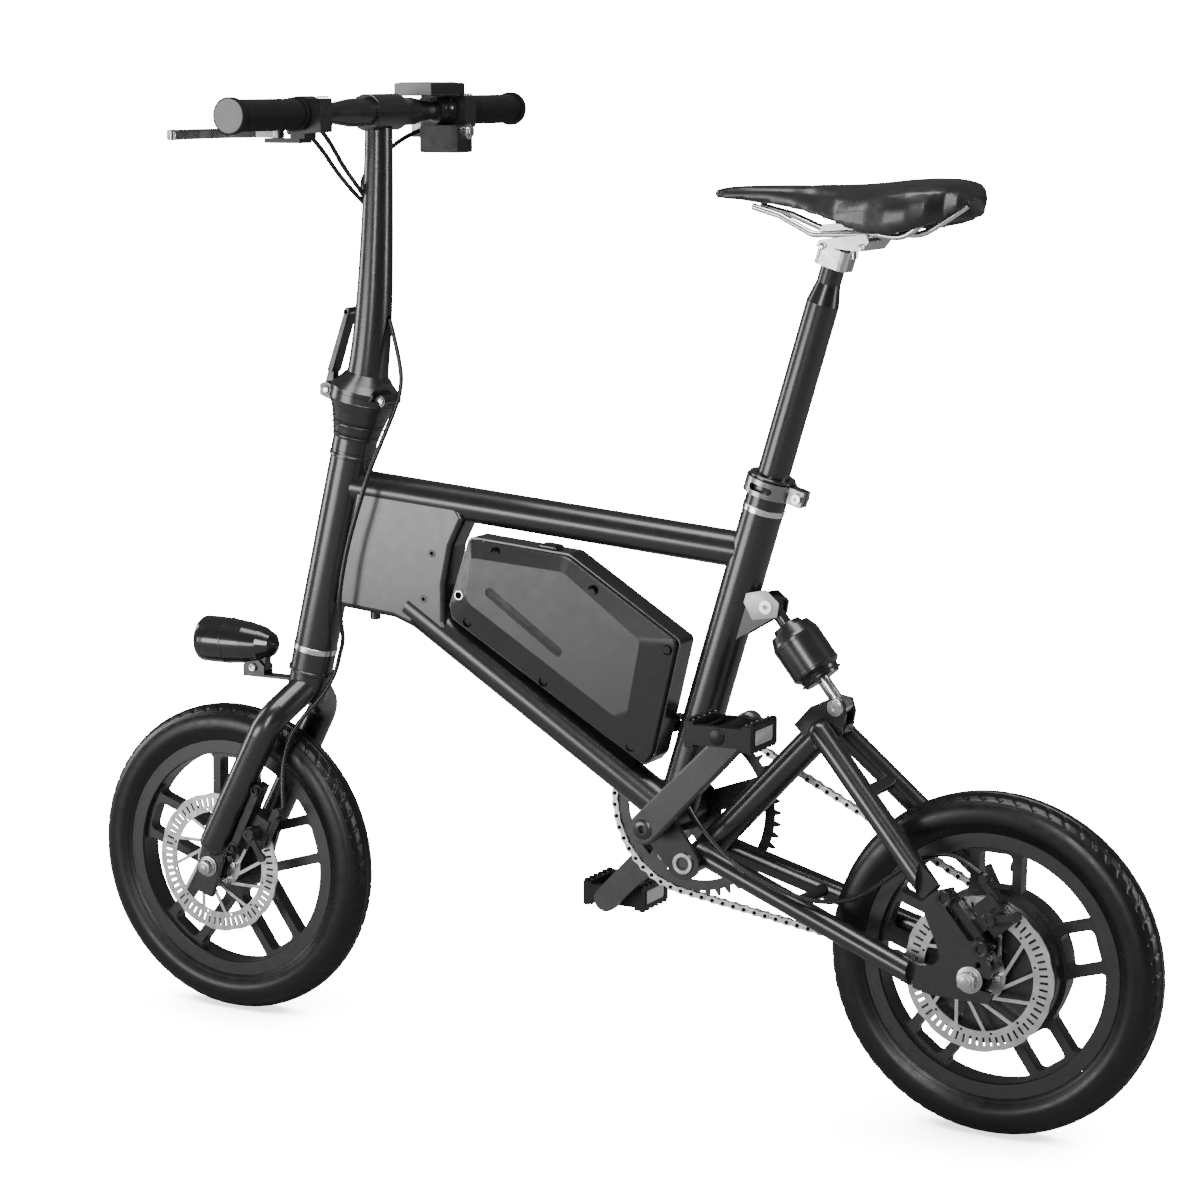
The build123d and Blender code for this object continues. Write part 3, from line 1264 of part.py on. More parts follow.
with BuildPart() as grips:
    for sign in (-1, 1):
        centre = Vector(bar_x, 0, bar_z)
        sleeve = sorted((sign * grip_start, sign * (bar_half_width - 3)))
        add_disc(centre, sleeve[0], sleeve[1], grip_radius, bar_radius)
        cap = sorted((sign * (bar_half_width - 3), sign * bar_half_width))
        add_disc(centre, cap[0], cap[1], 18.7)
        flange = sorted((sign * (bar_half_width - 7), sign * (bar_half_width - 3)))
        add_disc(centre, flange[0], flange[1], 18.7, bar_radius)
        collar = sorted((sign * grip_start, sign * (grip_start + 5)))
        add_disc(centre, collar[0], collar[1], 17.6, bar_radius)
pieces["grips"] = grips

# --- controls ---------------------------------------------------------------
bar_centre = Vector(bar_x, 0, bar_z)
button_at = Vector(-219.0, 118.0, 998.0)
with BuildPart() as control_box:
    with Locations((-255.5, 97, 1044)):
        Box(45, 74, 14)
    with Locations((-244, 112, 990)):
        Box(48, 32, 30)
    fillet(control_box.edges().filter_by(Axis.Y), 2.5)
    add_disc(bar_centre, 99, 131, 17.5, bar_radius)
    with Locations((bar_x, 115, 1030)):
        Box(20, 32, 18)
    add_disc(bar_centre, 40, 140, bar_radius, mode=Mode.SUBTRACT)
    add_bar(button_at - Vector(12, 0, 0), button_at + Vector(2, 0, 0), 6.2, mode=Mode.SUBTRACT)
pieces["control_box"] = control_box

with BuildPart() as throttle_button:
    add_bar(button_at - Vector(7.5, 0, 0), button_at + Vector(4.5, 0, 0), 6.0)
pieces["throttle_button"] = throttle_button

lever_pivot_x = -292.0
lever_pivot_side = perch_side + 12
lever_z = 1001.0
lever_half_height = 5.0
with BuildPart() as brake_perches:
    for sign in (-1, 1):
        sides = sorted((sign * perch_side, sign * (perch_side + perch_width)))
        add_disc(bar_centre, sides[0], sides[1], 18.5)
        add_plate([(-272, 1034), (-232, 1037), (-232, 1002), (-262, 1000)], sides[0], sides[1], corner=2)
        ear_high = lever_z + lever_half_height + 0.4
        add_plate([(-302, ear_high), (-302, ear_high + 5), (-262, 1026), (-262, ear_high)], sides[0], sides[1])
        ear_low = lever_z - lever_half_height - 0.4
        add_plate([(-302, ear_low - 5), (-302, ear_low), (-258, ear_low), (-258, ear_low - 5)], sides[0], sides[1])
        add_plate([(-270, ear_low), (-270, 1026), (-252, 1026), (-252, ear_low)], sides[0], sides[1])
        with Locations((lever_pivot_x, sign * lever_pivot_side, lever_z)):
            Cylinder(2.5, 2 * lever_half_height + 10)
    add_disc(bar_centre, -200, 200, bar_radius, mode=Mode.SUBTRACT)
pieces["brake_perches"] = brake_perches


def add_brake_lever(sign):
    """Two-finger lever blade swept forwards and out from its pivot."""
    way = [
        (lever_pivot_x, lever_pivot_side),
        (-312, lever_pivot_side + 12),
        (-327, lever_pivot_side + 40),
        (-331, lever_pivot_side + 90),
        (-329, 281),
    ]
    with BuildSketch(Plane.XY.offset(lever_z - lever_half_height)) as blade:
        for (x0, y0), (x1, y1) in zip(way, way[1:]):
            lean = degrees(atan2(sign * (y1 - y0), x1 - x0))
            length = hypot(x1 - x0, y1 - y0)
            with Locations(Location(((x0 + x1) / 2, sign * (y0 + y1) / 2, 0), (0, 0, lean))):
                SlotCenterToCenter(length, 9)
        with Locations((lever_pivot_x, sign * lever_pivot_side)):
            Circle(7)
            Circle(2.5 + running_clearance, mode=Mode.SUBTRACT)
    extrude(blade.sketch, amount=2 * lever_half_height)


with BuildPart() as brake_lever_left:
    add_brake_lever(-1)
pieces["brake_lever_left"] = brake_lever_left
with BuildPart() as brake_lever_right:
    add_brake_lever(1)
pieces["brake_lever_right"] = brake_lever_right

# --- saddle -----------------------------------------------------------------
post_low = 215.0
post_shoulder = 570.0
post_neck = 591.0
post_top = 608.0
with BuildPart() as seat_post:
    add_turned(
        seat_plane(0),
        [
            (seat_post_radius - 2.5, post_low),
            (seat_post_radius, post_low),
            (seat_post_radius, post_shoulder),
            (seat_post_neck_radius, post_neck),
            (seat_post_neck_radius, post_top),
            (seat_post_neck_radius - 2.5, post_top),
            (seat_post_neck_radius - 2.5, post_neck),
            (seat_post_radius - 2.5, post_shoulder),
        ],
    )
pieces["seat_post"] = seat_post

rail_radius = 3.5
rail_side = 22.0
with BuildPart() as saddle_frame:
    head_middle = on_seat(post_top + 0.05)
    with BuildSketch(seat_plane(post_top + 0.05)) as head_foot:
        RectangleRounded(36, 30, 8)
    extrude(head_foot.sketch, amount=20, dir=(seat_sin, 0, seat_cos))
    add_plate([(268, 893), (272, 900), (322, 906), (326, 899), (318, 889)], -29, 29)
    add_plate([(272, 908), (276, 915), (322, 919), (326, 912)], -29, 29)
    add_bar((297, 0, 880), (297, 0, 916), 5)
    for sign in (-1, 1):
        rail = [(190, sign * 9, 930), (222, sign * 14, 922), (262, sign * rail_side, 904.5), (336, sign * rail_side, 906.5), (352, sign * 25, 906.5)]
        with BuildLine() as rail_line:
            FilletPolyline(*rail[:4], radius=14)
        with BuildSketch(Plane(origin=rail[0], z_dir=Vector(rail[1]) - Vector(rail[0]))) as rail_section:
            Circle(rail_radius)
        sweep(rail_section.sketch, path=rail_line.wires()[0])
    add(seat_post.part, mode=Mode.SUBTRACT)
pieces["saddle_frame"] = saddle_frame

saddle_half_nose = 17.0
saddle_half_rear = 72.0
side_points = [
    (140, 935),
    (150, 946),
    (200, 951),
    (300, 953),
    (370, 960),
    (412, 960),
    (428, 948),
    (426, 930),
    (400, 912),
    (362, 907),
    (330, 911.5),
    (240, 926),
    (190, 934.5),
]
saddle_line = Spline(
    (143, 2),
    (149, 10),
    (175, saddle_half_nose),
    (235, saddle_half_nose + 2),
    (290, 34),
    (340, 62),
    (382, saddle_half_rear),
    (415, 54),
    (427, 2),
)
saddle_edge = [((saddle_line @ (k / 40)).X, (saddle_line @ (k / 40)).Y) for k in range(41)]
with BuildPart() as saddle:
    with BuildSketch(side_plane(90)) as side:
        Polygon(*side_points, align=None)
        fillet(side.vertices(), 3)
    extrude(side.sketch, amount=180, dir=(0, -1, 0))
    with BuildSketch(Plane.XY.offset(890)) as plan:
        Polygon(*saddle_edge, *[(x, -y) for x, y in reversed(saddle_edge)], align=None)
    extrude(plan.sketch, amount=90, mode=Mode.INTERSECT)
    for sign in (-1, 1):
        add_bar((180, sign * 6, 933), (232, sign * 17, 920), 5.2, mode=Mode.SUBTRACT)
    with Locations((297, 0, 905)):
        Box(84, 66, 32, mode=Mode.SUBTRACT)
pieces["saddle"] = saddle

# --- cables -----------------------------------------------------------------
left_bar_route = [(-276, -133, 1003), (-281, -112, 1001), (-287, -86, 993), (-291, -60, 978), (-291, -36, 957), (-284, -16, 936)]
lamp_bar_route = [(-268, -133, 1008), (-272, -110, 1010), (-279, -84, 1003), (-284, -58, 988), (-285, -34, 964), (-279, -15, 942)]
right_bar_route = [(-276, 133, 1003), (-285, 108, 996), (-290, 78, 984), (-293, 46, 967), (-291, 14, 950), (-281, -2, 938)]
front_route = [
    (-249.0, -1, 799),
    (-242, -3, 781),
    (-234.5, -5, 755),
    (-230.2, -7, 735),
    (-232.0, -11, 714),
    (-239.0, -18, 690),
    (-248.0, -27, 661),
    (-258.0, -34, 632),
    (-270.0, -36.5, 594),
    (-282.6, -36, 558),
    (-291.5, -36, 522),
    (-296.5, -36, 490),
    (-298.0, -29, 464),
    (-306.0, -13, 444),
    (-319.0, 0, 425),
    (-326.0, 0, 401),
    (-336.0, -10, 378),
    (-352.0, -24, 356),
    (-364.0, -36, 334),
    (-367.0, -46, 306),
    (-364.5, -52, 280),
    (-362.0, -54, 255),
]
rear_route = [
    (128.0, -26, 309),
    (140.0, -34, 297),
    (162.0, -42, 279),
    (186.0, -47, 262),
    (214.0, -50, 248),
    (248.0, -52, 237),
    (284.0, -52, 230),
    (317.0, -50, 233),
    (344.0, -46, 246),
    (364.0, -40, 264),
    (387.0, -36, 281),
    (411.0, -38, 292),
    (434.0, -45, 296),
    (456.0, -54, 290),
    (469.0, -58, 284),
]
with BuildPart() as bar_cables:
    for name, route in (("left", left_bar_route), ("lamp", lamp_bar_route), ("right", right_bar_route)):
        add_cable(name, route, cable_radius)
pieces["bar_cables"] = bar_cables
with BuildPart() as front_brake_cable:
    add_cable("front", front_route, cable_radius)
pieces["front_brake_cable"] = front_brake_cable
with BuildPart() as rear_brake_cable:
    add_cable("rear", rear_route, cable_radius)
pieces["rear_brake_cable"] = rear_brake_cable

for name, piece in pieces.items():
    piece.part.label = name
    export_step(piece.part, f"parts/{name}.step")
print(len(pieces), "sub-parts")
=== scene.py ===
"""Looks of a small-wheeled folding bicycle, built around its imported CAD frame.

Every size is in millimetres and is turned into metres where a mesh is made.
X runs to the rear, -Y to the rider's left and Z up.
"""

from __future__ import annotations

import json
import logging
import math
from dataclasses import dataclass
from enum import Enum
from typing import Iterable, Sequence

import bmesh
import bpy
import numpy as np
from mathutils import Matrix, Vector

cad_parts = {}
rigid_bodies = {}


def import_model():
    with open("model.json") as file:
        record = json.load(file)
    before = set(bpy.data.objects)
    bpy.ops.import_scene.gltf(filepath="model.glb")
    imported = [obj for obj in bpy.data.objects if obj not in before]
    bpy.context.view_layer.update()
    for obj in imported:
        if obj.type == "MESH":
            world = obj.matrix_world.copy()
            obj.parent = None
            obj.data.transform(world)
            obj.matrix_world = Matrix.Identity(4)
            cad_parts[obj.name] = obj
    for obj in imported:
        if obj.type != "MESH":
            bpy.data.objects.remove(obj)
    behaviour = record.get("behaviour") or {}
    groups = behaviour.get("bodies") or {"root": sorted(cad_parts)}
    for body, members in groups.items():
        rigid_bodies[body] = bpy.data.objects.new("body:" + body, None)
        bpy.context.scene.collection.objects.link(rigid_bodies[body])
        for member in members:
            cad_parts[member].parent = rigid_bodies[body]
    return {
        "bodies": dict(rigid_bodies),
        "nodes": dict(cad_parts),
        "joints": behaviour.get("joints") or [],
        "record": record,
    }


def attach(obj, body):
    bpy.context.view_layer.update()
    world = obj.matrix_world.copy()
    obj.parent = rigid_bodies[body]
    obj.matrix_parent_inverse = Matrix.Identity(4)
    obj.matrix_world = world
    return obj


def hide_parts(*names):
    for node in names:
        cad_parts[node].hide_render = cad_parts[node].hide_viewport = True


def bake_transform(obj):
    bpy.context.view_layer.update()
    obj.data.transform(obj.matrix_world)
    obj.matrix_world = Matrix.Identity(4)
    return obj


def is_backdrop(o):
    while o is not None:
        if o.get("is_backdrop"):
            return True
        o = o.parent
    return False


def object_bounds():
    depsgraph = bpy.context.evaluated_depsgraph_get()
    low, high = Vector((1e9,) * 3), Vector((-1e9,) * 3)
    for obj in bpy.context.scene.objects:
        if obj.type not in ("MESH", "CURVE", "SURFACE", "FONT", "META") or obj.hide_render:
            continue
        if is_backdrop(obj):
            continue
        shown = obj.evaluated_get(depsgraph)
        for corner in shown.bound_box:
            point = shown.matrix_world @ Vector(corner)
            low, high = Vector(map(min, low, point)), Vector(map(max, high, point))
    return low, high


log = logging.getLogger("folding_bicycle")

MM = 0.001
Point = Sequence[float]
Flat = tuple[float, float]
Outline = Sequence[Flat]
Piece = bpy.types.Object
Tree = bpy.types.NodeTree
Socket = bpy.types.NodeSocket

# The CAD frame's own places and angles.
FRONT_AXLE: Flat = (-463.0, 177.0)
REAR_AXLE: Flat = (463.0, 177.0)
BRACKET: Flat = (100.3, 289.0)
HEAD_FOOT: Flat = (-359.5, 396.1)
HEAD_LEAN = 13.37
SEAT_LEAN = 16.7
CRANK_LENGTH = 170
CRANK_LEAN = 46.0
DAMPER_TOP: Flat = (211.4, 523.1)
DAMPER_LENGTH = 125.4
DAMPER_LEAN = -51.44
SWINGARM_PIVOT: Flat = (132.3, 250.0)
CARRIER_HOLES: tuple[Flat, ...] = ((-187.2, 549.8), (-198.2, 498.8))
SIDES = ((-1, "left"), (1, "right"))


class Grain(Enum):
    """Fine relief of a finish."""

    PEEL = "peel"
    BRUSHED = "brushed"
    MOULDED = "moulded"
    LEATHER = "leather"
    RUBBER = "rubber"
    CAST = "cast"


@dataclass(frozen=True)
class Finish:
    """A surface: its colours, its gloss and its relief.

    Sizes of patterns are in millimetres.
    """

    name: str
    colour: tuple[float, float, float]
    roughness: float
    metallic: float = 0.0
    coat: float = 0.0
    coat_roughness: float = 0.12
    specular: float = 0.5
    mottle: float = 0.12
    mottle_size: float = 30.0
    spread: float = 0.08
    grain: Grain = Grain.PEEL
    grain_size: float = 1.0
    grain_height: float = 0.02
    grain_axis: tuple[float, float, float] = (1.0, 1.0, 1.0)
    dust: float = 0.0
    transmission: float = 0.0
    ior: float = 1.5

    def material(self) -> bpy.types.Material:
        """Returns the finish's node material, made once.

        Returns:
            The material, with its pattern on Object coordinates.
        """
        label = f"{self.name}_finish"
        found = bpy.data.materials.get(label)
        if found is not None:
            return found
        material = bpy.data.materials.new(label)
        material.use_nodes = True
        tree = material.node_tree
        tree.nodes.clear()
        output = tree.nodes.new("ShaderNodeOutputMaterial")
        shader = tree.nodes.new("ShaderNodeBsdfPrincipled")
        tree.links.new(shader.outputs["BSDF"], output.inputs["Surface"])
        shader.inputs["Metallic"].default_value = self.metallic
        shader.inputs["Coat Weight"].default_value = self.coat
        shader.inputs["Coat Roughness"].default_value = self.coat_roughness
        shader.inputs["Specular IOR Level"].default_value = self.specular
        shader.inputs["Transmission Weight"].default_value = self.transmission
        shader.inputs["IOR"].default_value = self.ior
        place = tree.nodes.new("ShaderNodeTexCoord").outputs["Object"]
        self._paint(tree, place, shader)
        self._relief(tree, place, shader)
        material.diffuse_color = (*self.colour, 1.0)
        return material

    def _noise(
        self, tree: Tree, place: Socket, size: float, detail: float
    ) -> Socket:
        """Adds a noise pattern.

        Args:
            tree: the material's nodes.
            place: the coordinates it reads.
            size: the pattern's size in millimetres.
            detail: octaves of the noise.

        Returns:
            The pattern's value socket.
        """
        noise = tree.nodes.new("ShaderNodeTexNoise")
        noise.inputs["Scale"].default_value = 1000.0 / size
        noise.inputs["Detail"].default_value = detail
        tree.links.new(place, noise.inputs["Vector"])
        return noise.outputs["Fac"]

    def _paint(
        self,
        tree: Tree,
        place: Socket,
        shader: bpy.types.ShaderNode,
    ) -> None:
        """Varies colour and roughness over the surface.

        Args:
            tree: the material's nodes.
            place: the coordinates to read.
            shader: the surface shader.
        """
        value = self._noise(tree, place, self.mottle_size, 4.0)
        ramp = tree.nodes.new("ShaderNodeValToRGB")
        ramp.color_ramp.elements[0].position = 0.32
        ramp.color_ramp.elements[1].position = 0.68
        dark = [max(0.0, c * (1.0 - self.mottle)) for c in self.colour]
        light = [min(1.0, c * (1.0 + self.mottle) + 0.004 * self.dust) for c in self.colour]
        ramp.color_ramp.elements[0].color = (*dark, 1.0)
        ramp.color_ramp.elements[1].color = (*light, 1.0)
        tree.links.new(value, ramp.inputs["Fac"])
        tree.links.new(ramp.outputs["Color"], shader.inputs["Base Color"])
        smudge = self._noise(tree, place, self.mottle_size * 0.37, 3.0)
        spread = tree.nodes.new("ShaderNodeMapRange")
        spread.inputs["From Min"].default_value = 0.3
        spread.inputs["From Max"].default_value = 0.7
        spread.inputs["To Min"].default_value = max(0.02, self.roughness - self.spread)
        spread.inputs["To Max"].default_value = min(1.0, self.roughness + self.spread)
        tree.links.new(smudge, spread.inputs["Value"])
        tree.links.new(spread.outputs["Result"], shader.inputs["Roughness"])

    def _relief(
        self,
        tree: Tree,
        place: Socket,
        shader: bpy.types.ShaderNode,
    ) -> None:
        """Adds the finish's fine relief as bump.

        Args:
            tree: the material's nodes.
            place: the coordinates to read.
            shader: the surface shader.
        """
        scaled = tree.nodes.new("ShaderNodeMapping")
        scaled.inputs["Scale"].default_value = self.grain_axis
        tree.links.new(place, scaled.inputs["Vector"])
        source = scaled.outputs["Vector"]
        if self.grain is Grain.LEATHER:
            cells = tree.nodes.new("ShaderNodeTexVoronoi")
            cells.feature = "DISTANCE_TO_EDGE"
            cells.inputs["Scale"].default_value = 1000.0 / self.grain_size
            tree.links.new(source, cells.inputs["Vector"])
            soft = tree.nodes.new("ShaderNodeMapRange")
            soft.inputs["From Max"].default_value = 0.35
            tree.links.new(cells.outputs["Distance"], soft.inputs["Value"])
            height = soft.outputs["Result"]
        else:
            octaves = {Grain.PEEL: 1.0, Grain.BRUSHED: 3.0, Grain.CAST: 4.0}.get(self.grain, 2.0)
            height = self._noise(tree, source, self.grain_size, octaves)
        bump = tree.nodes.new("ShaderNodeBump")
        bump.inputs["Strength"].default_value = 1.0
        bump.inputs["Distance"].default_value = self.grain_height * MM
        tree.links.new(height, bump.inputs["Height"])
        tree.links.new(bump.outputs["Normal"], shader.inputs["Normal"])


BLACK_PAINT = Finish(
    "satin_black_paint", (0.010, 0.010, 0.0105), 0.30, coat=0.5, coat_roughness=0.2, mottle=0.04, spread=0.03,
    grain_height=0.003
)
BLACK_CAST = Finish(
    "cast_rim_black", (0.012, 0.012, 0.0125), 0.38, coat=0.3, coat_roughness=0.25, mottle=0.05, spread=0.05,
    grain=Grain.CAST, grain_size=0.9, grain_height=0.008,
)
MOTOR_BLACK = Finish(
    "motor_black", (0.014, 0.014, 0.0145), 0.36, coat=0.3, mottle=0.05, spread=0.05, grain_height=0.004
)
DISC_STEEL = Finish(
    "ground_disc_steel", (0.60, 0.60, 0.61), 0.3, metallic=1.0, mottle=0.05,
    grain=Grain.BRUSHED, grain_size=0.5, grain_height=0.004,
)
BRIGHT_STEEL = Finish("bright_steel", (0.68, 0.68, 0.69), 0.24, metallic=1.0, mottle=0.04, grain_height=0.003)
NUT_STEEL = Finish("nut_steel", (0.45, 0.45, 0.455), 0.34, metallic=0.9, mottle=0.05, grain_height=0.004)
DARK_STEEL = Finish("dark_steel", (0.07, 0.07, 0.072), 0.38, metallic=0.8, mottle=0.06, grain_height=0.004)
SCREW_BLACK = Finish(
    "black_screw", (0.009, 0.009, 0.0095), 0.42, metallic=0.3, mottle=0.05, grain_height=0.003
)
CHAIN_STEEL = Finish(
    "chain_steel", (0.78, 0.775, 0.76), 0.34, metallic=1.0, mottle=0.2, mottle_size=5.0, grain_height=0.004
)
CRANK_GREY = Finish(
    "crank_grey", (0.055, 0.055, 0.057), 0.36, metallic=0.45, coat=0.2, mottle=0.05, grain_height=0.004
)
LEVER_GREY = Finish("lever_grey", (0.50, 0.50, 0.505), 0.3, metallic=0.95, mottle=0.05, grain_height=0.004)
PERCH_BLACK = Finish(
    "perch_black", (0.02, 0.02, 0.0205), 0.36, metallic=0.2, coat=0.2, mottle=0.05, grain_height=0.004
)
CALIPER_BLACK = Finish(
    "caliper_black", (0.014, 0.014, 0.0145), 0.34, metallic=0.2, coat=0.2, mottle=0.06, grain_height=0.006
)
LIGHT_ALLOY = Finish("light_alloy", (0.50, 0.50, 0.505), 0.42, metallic=0.6, mottle=0.05, grain_height=0.006)
CLAMP_ALLOY = Finish("clamp_alloy", (0.30, 0.30, 0.303), 0.3, metallic=1.0, mottle=0.04, grain_height=0.003)
PAD_RUBBER = Finish(
    "pad_rubber", (0.003, 0.003, 0.0031), 0.8, specular=0.05, mottle=0.04, grain=Grain.RUBBER,
    grain_height=0.01
)
BRIGHT_ALLOY = Finish("bright_alloy", (0.72, 0.72, 0.73), 0.26, metallic=1.0, mottle=0.04, grain_height=0.003)
CASE_PLASTIC = Finish(
    "battery_case_plastic", (0.012, 0.012, 0.0125), 0.24, coat=0.4, coat_roughness=0.1, mottle=0.04,
    spread=0.03, grain_height=0.003
)
COVER_PLASTIC = Finish(
    "battery_cover_plastic", (0.020, 0.020, 0.0205), 0.34, mottle=0.04, spread=0.03,
    grain=Grain.MOULDED, grain_size=0.7, grain_height=0.006,
)
SLOT_DARK = Finish("slot_dark", (0.006, 0.006, 0.0065), 0.5, mottle=0.03, grain_height=0.003)
GLOSS_PLASTIC = Finish(
    "gloss_black_plastic", (0.012, 0.012, 0.0125), 0.2, coat=0.5, coat_roughness=0.08, mottle=0.03,
    spread=0.03, grain_height=0.002
)
GLASS_BLACK = Finish(
    "display_glass", (0.006, 0.006, 0.0065), 0.08, coat=0.8, coat_roughness=0.03, mottle=0.02, spread=0.01,
    grain_height=0.0005
)
GREY_PLASTIC = Finish(
    "grey_plastic", (0.20, 0.20, 0.203), 0.48, mottle=0.03, spread=0.03, grain=Grain.MOULDED,
    grain_height=0.006
)
LENS_PLASTIC = Finish(
    "lamp_lens", (0.60, 0.61, 0.62), 0.12, coat=0.8, coat_roughness=0.03, mottle=0.03, grain_height=0.002
)
REFLECTOR = Finish(
    "reflector", (0.45, 0.46, 0.47), 0.16, metallic=0.35, coat=0.8, coat_roughness=0.04, mottle=0.05,
    grain_height=0.002
)
TYRE_RUBBER = Finish(
    "tyre_rubber", (0.0055, 0.0055, 0.0057), 0.34, specular=0.35, mottle=0.08, spread=0.05,
    grain=Grain.RUBBER, grain_size=1.2, grain_height=0.012, dust=0.06,
)
GRIP_RUBBER = Finish(
    "grip_rubber", (0.010, 0.010, 0.0103), 0.5, specular=0.14, mottle=0.05, spread=0.04, grain=Grain.RUBBER,
    grain_size=0.8, grain_height=0.012
)
CABLE_PLASTIC = Finish(
    "cable_housing", (0.009, 0.009, 0.0095), 0.3, mottle=0.04, mottle_size=12.0, grain_height=0.002
)
PEDAL_PLASTIC = Finish(
    "pedal_plastic", (0.006, 0.006, 0.0062), 0.36, specular=0.3, mottle=0.05, grain=Grain.MOULDED,
    grain_height=0.01
)
CELL_WRAP = Finish("cell_wrap", (0.10, 0.13, 0.22), 0.35, coat=0.3)
SADDLE_LEATHER = Finish(
    "saddle_leather", (0.012, 0.012, 0.0125), 0.36, mottle=0.05, spread=0.04,
    grain=Grain.LEATHER, grain_size=1.4, grain_height=0.012, coat=0.15,
)

# Nodes with a finish of their own; every other node is painted black.
FINISH_NODES: tuple[tuple[Finish, str], ...] = (
    (BLACK_CAST, "front_rim rear_rim"),
    (TYRE_RUBBER, "front_tyre rear_tyre"),
    (MOTOR_BLACK, "motor_shell"),
    (DARK_STEEL, "motor_stator headset_bearings headlight_bracket freewheel_sprocket chainring"),
    (DISC_STEEL, "front_rotor rear_rotor"),
    (NUT_STEEL, "front_axle rear_axle"),
    (CLAMP_ALLOY, "seat_clamp"),
    (CASE_PLASTIC, "battery_case"),
    (COVER_PLASTIC, "battery_covers"),
    (CELL_WRAP, "battery_cells"),
    (CALIPER_BLACK, "rear_caliper front_caliper rear_caliper_arm front_caliper_arm"),
    (GLOSS_PLASTIC, "headlight_shell control_box"),
    (LENS_PLASTIC, "headlight_lens"),
    (BRIGHT_STEEL, "frame_fasteners swingarm_fasteners shock_rod"),
    (BRIGHT_ALLOY, "saddle_frame throttle_button"),
    (SADDLE_LEATHER, "saddle"),
    (PERCH_BLACK, "stem_latch brake_perches"),
    (GRIP_RUBBER, "grips"),
    (LEVER_GREY, "brake_lever_left brake_lever_right"),
    (CRANK_GREY, "crankset"),
    (PEDAL_PLASTIC, "pedal_left pedal_right"),
    (CHAIN_STEEL, "chain"),
    (CABLE_PLASTIC, "bar_cables front_brake_cable rear_brake_cable"),
)
NODE_FINISHES = {node: finish for finish, nodes in FINISH_NODES for node in nodes.split()}


def dress_nodes(nodes: dict[str, Piece]) -> None:
    """Gives each CAD node its finish.

    Args:
        nodes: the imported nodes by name.
    """
    for name, node in nodes.items():
        finish = NODE_FINISHES.get(name, BLACK_PAINT)
        node.data.materials.clear()
        node.data.materials.append(finish.material())
        log.info("node %s: %s", name, finish.name)


# --- cable routes, in millimetres --------------------------------------------
LEFT_BAR_ROUTE: list[Point] = [
    (-276, -133, 1003), (-281, -112, 1001), (-287, -86, 993), (-291, -60, 978), (-291, -36, 957),
    (-284, -16, 936), (-277, -9, 926), (-269, -5, 915),
    (-277, -9, 922), (-269, -5, 908),
]
LAMP_BAR_ROUTE: list[Point] = [
    (-268, -133, 1008), (-272, -110, 1010), (-279, -84, 1003), (-284, -58, 988), (-285, -34, 964),
    (-279, -15, 942),
    (-274, -9, 930), (-268, -4, 916),
]
RIGHT_BAR_ROUTE: list[Point] = [
    (-276, 133, 1003), (-285, 108, 996), (-290, 78, 984), (-293, 46, 967), (-291, 14, 950), (-281, -2, 938),
    (-275, -2, 926), (-267, -1, 912),
]
BAR_ROUTES = (LEFT_BAR_ROUTE, LAMP_BAR_ROUTE, RIGHT_BAR_ROUTE)
FRONT_ROUTE: list[Point] = [
    (-249.0, -1, 799), (-242, -3, 781), (-234.5, -5, 755), (-230.2, -7, 735), (-232.0, -11, 714),
    (-239.0, -18, 690), (-248.0, -27, 661), (-258.0, -34, 632), (-270.0, -36.5, 594), (-282.6, -36, 558),
    (-291.5, -36, 522), (-296.5, -36, 490), (-298.0, -29, 464), (-306.0, -13, 444), (-319.0, 0, 425),
    (-326.0, 0, 401), (-336.0, -10, 378), (-352.0, -24, 356), (-364.0, -36, 334), (-367.0, -46, 306),
    (-364.5, -52, 280), (-362.0, -54, 255),
]
REAR_ROUTE: list[Point] = [
    (128.0, -26, 309), (140.0, -34, 297), (162.0, -42, 279), (186.0, -47, 262), (214.0, -50, 248),
    (248.0, -52, 237), (284.0, -52, 230), (317.0, -50, 233), (344.0, -46, 246), (364.0, -40, 264),
    (387.0, -36, 281), (411.0, -38, 292), (434.0, -45, 296), (456.0, -54, 290), (469.0, -58, 284),
]


# --- shaping ---------------------------------------------------------------
def mesh_object(name: str, points: Iterable[Point], faces: Iterable[Sequence[int]]) -> Piece:
    """Makes a smooth-shaded mesh piece with its place in its mesh.

    Args:
        name: the piece's name.
        points: corners in millimetres.
        faces: corner numbers of each face.

    Returns:
        The new object, at the origin, with faces outwards.
    """
    mesh = bpy.data.meshes.new(name)
    mesh.from_pydata([tuple(c * MM for c in point) for point in points], [], [tuple(face) for face in faces])
    work = bmesh.new()
    work.from_mesh(mesh)
    bmesh.ops.remove_doubles(work, verts=work.verts, dist=1e-6)
    bmesh.ops.recalc_face_normals(work, faces=work.faces)
    work.to_mesh(mesh)
    work.free()
    piece = bpy.data.objects.new(name, mesh)
    bpy.context.scene.collection.objects.link(piece)
    shade(piece)
    return piece


def shade(piece: Piece, angle: float = 38.0) -> None:
    """Smooths a piece's shading, except at edges sharper than an angle in degrees."""
    piece.data.shade_smooth()
    piece.data.set_sharp_from_angle(angle=math.radians(angle))


def baked(piece: Piece) -> Piece:
    """Writes a piece's modifiers into its mesh and removes them.

    Args:
        piece: an object with modifiers.

    Returns:
        The same object.
    """
    bpy.context.view_layer.update()
    mesh = bpy.data.meshes.new_from_object(piece.evaluated_get(bpy.context.evaluated_depsgraph_get()))
    piece.modifiers.clear()
    piece.data = mesh
    return piece


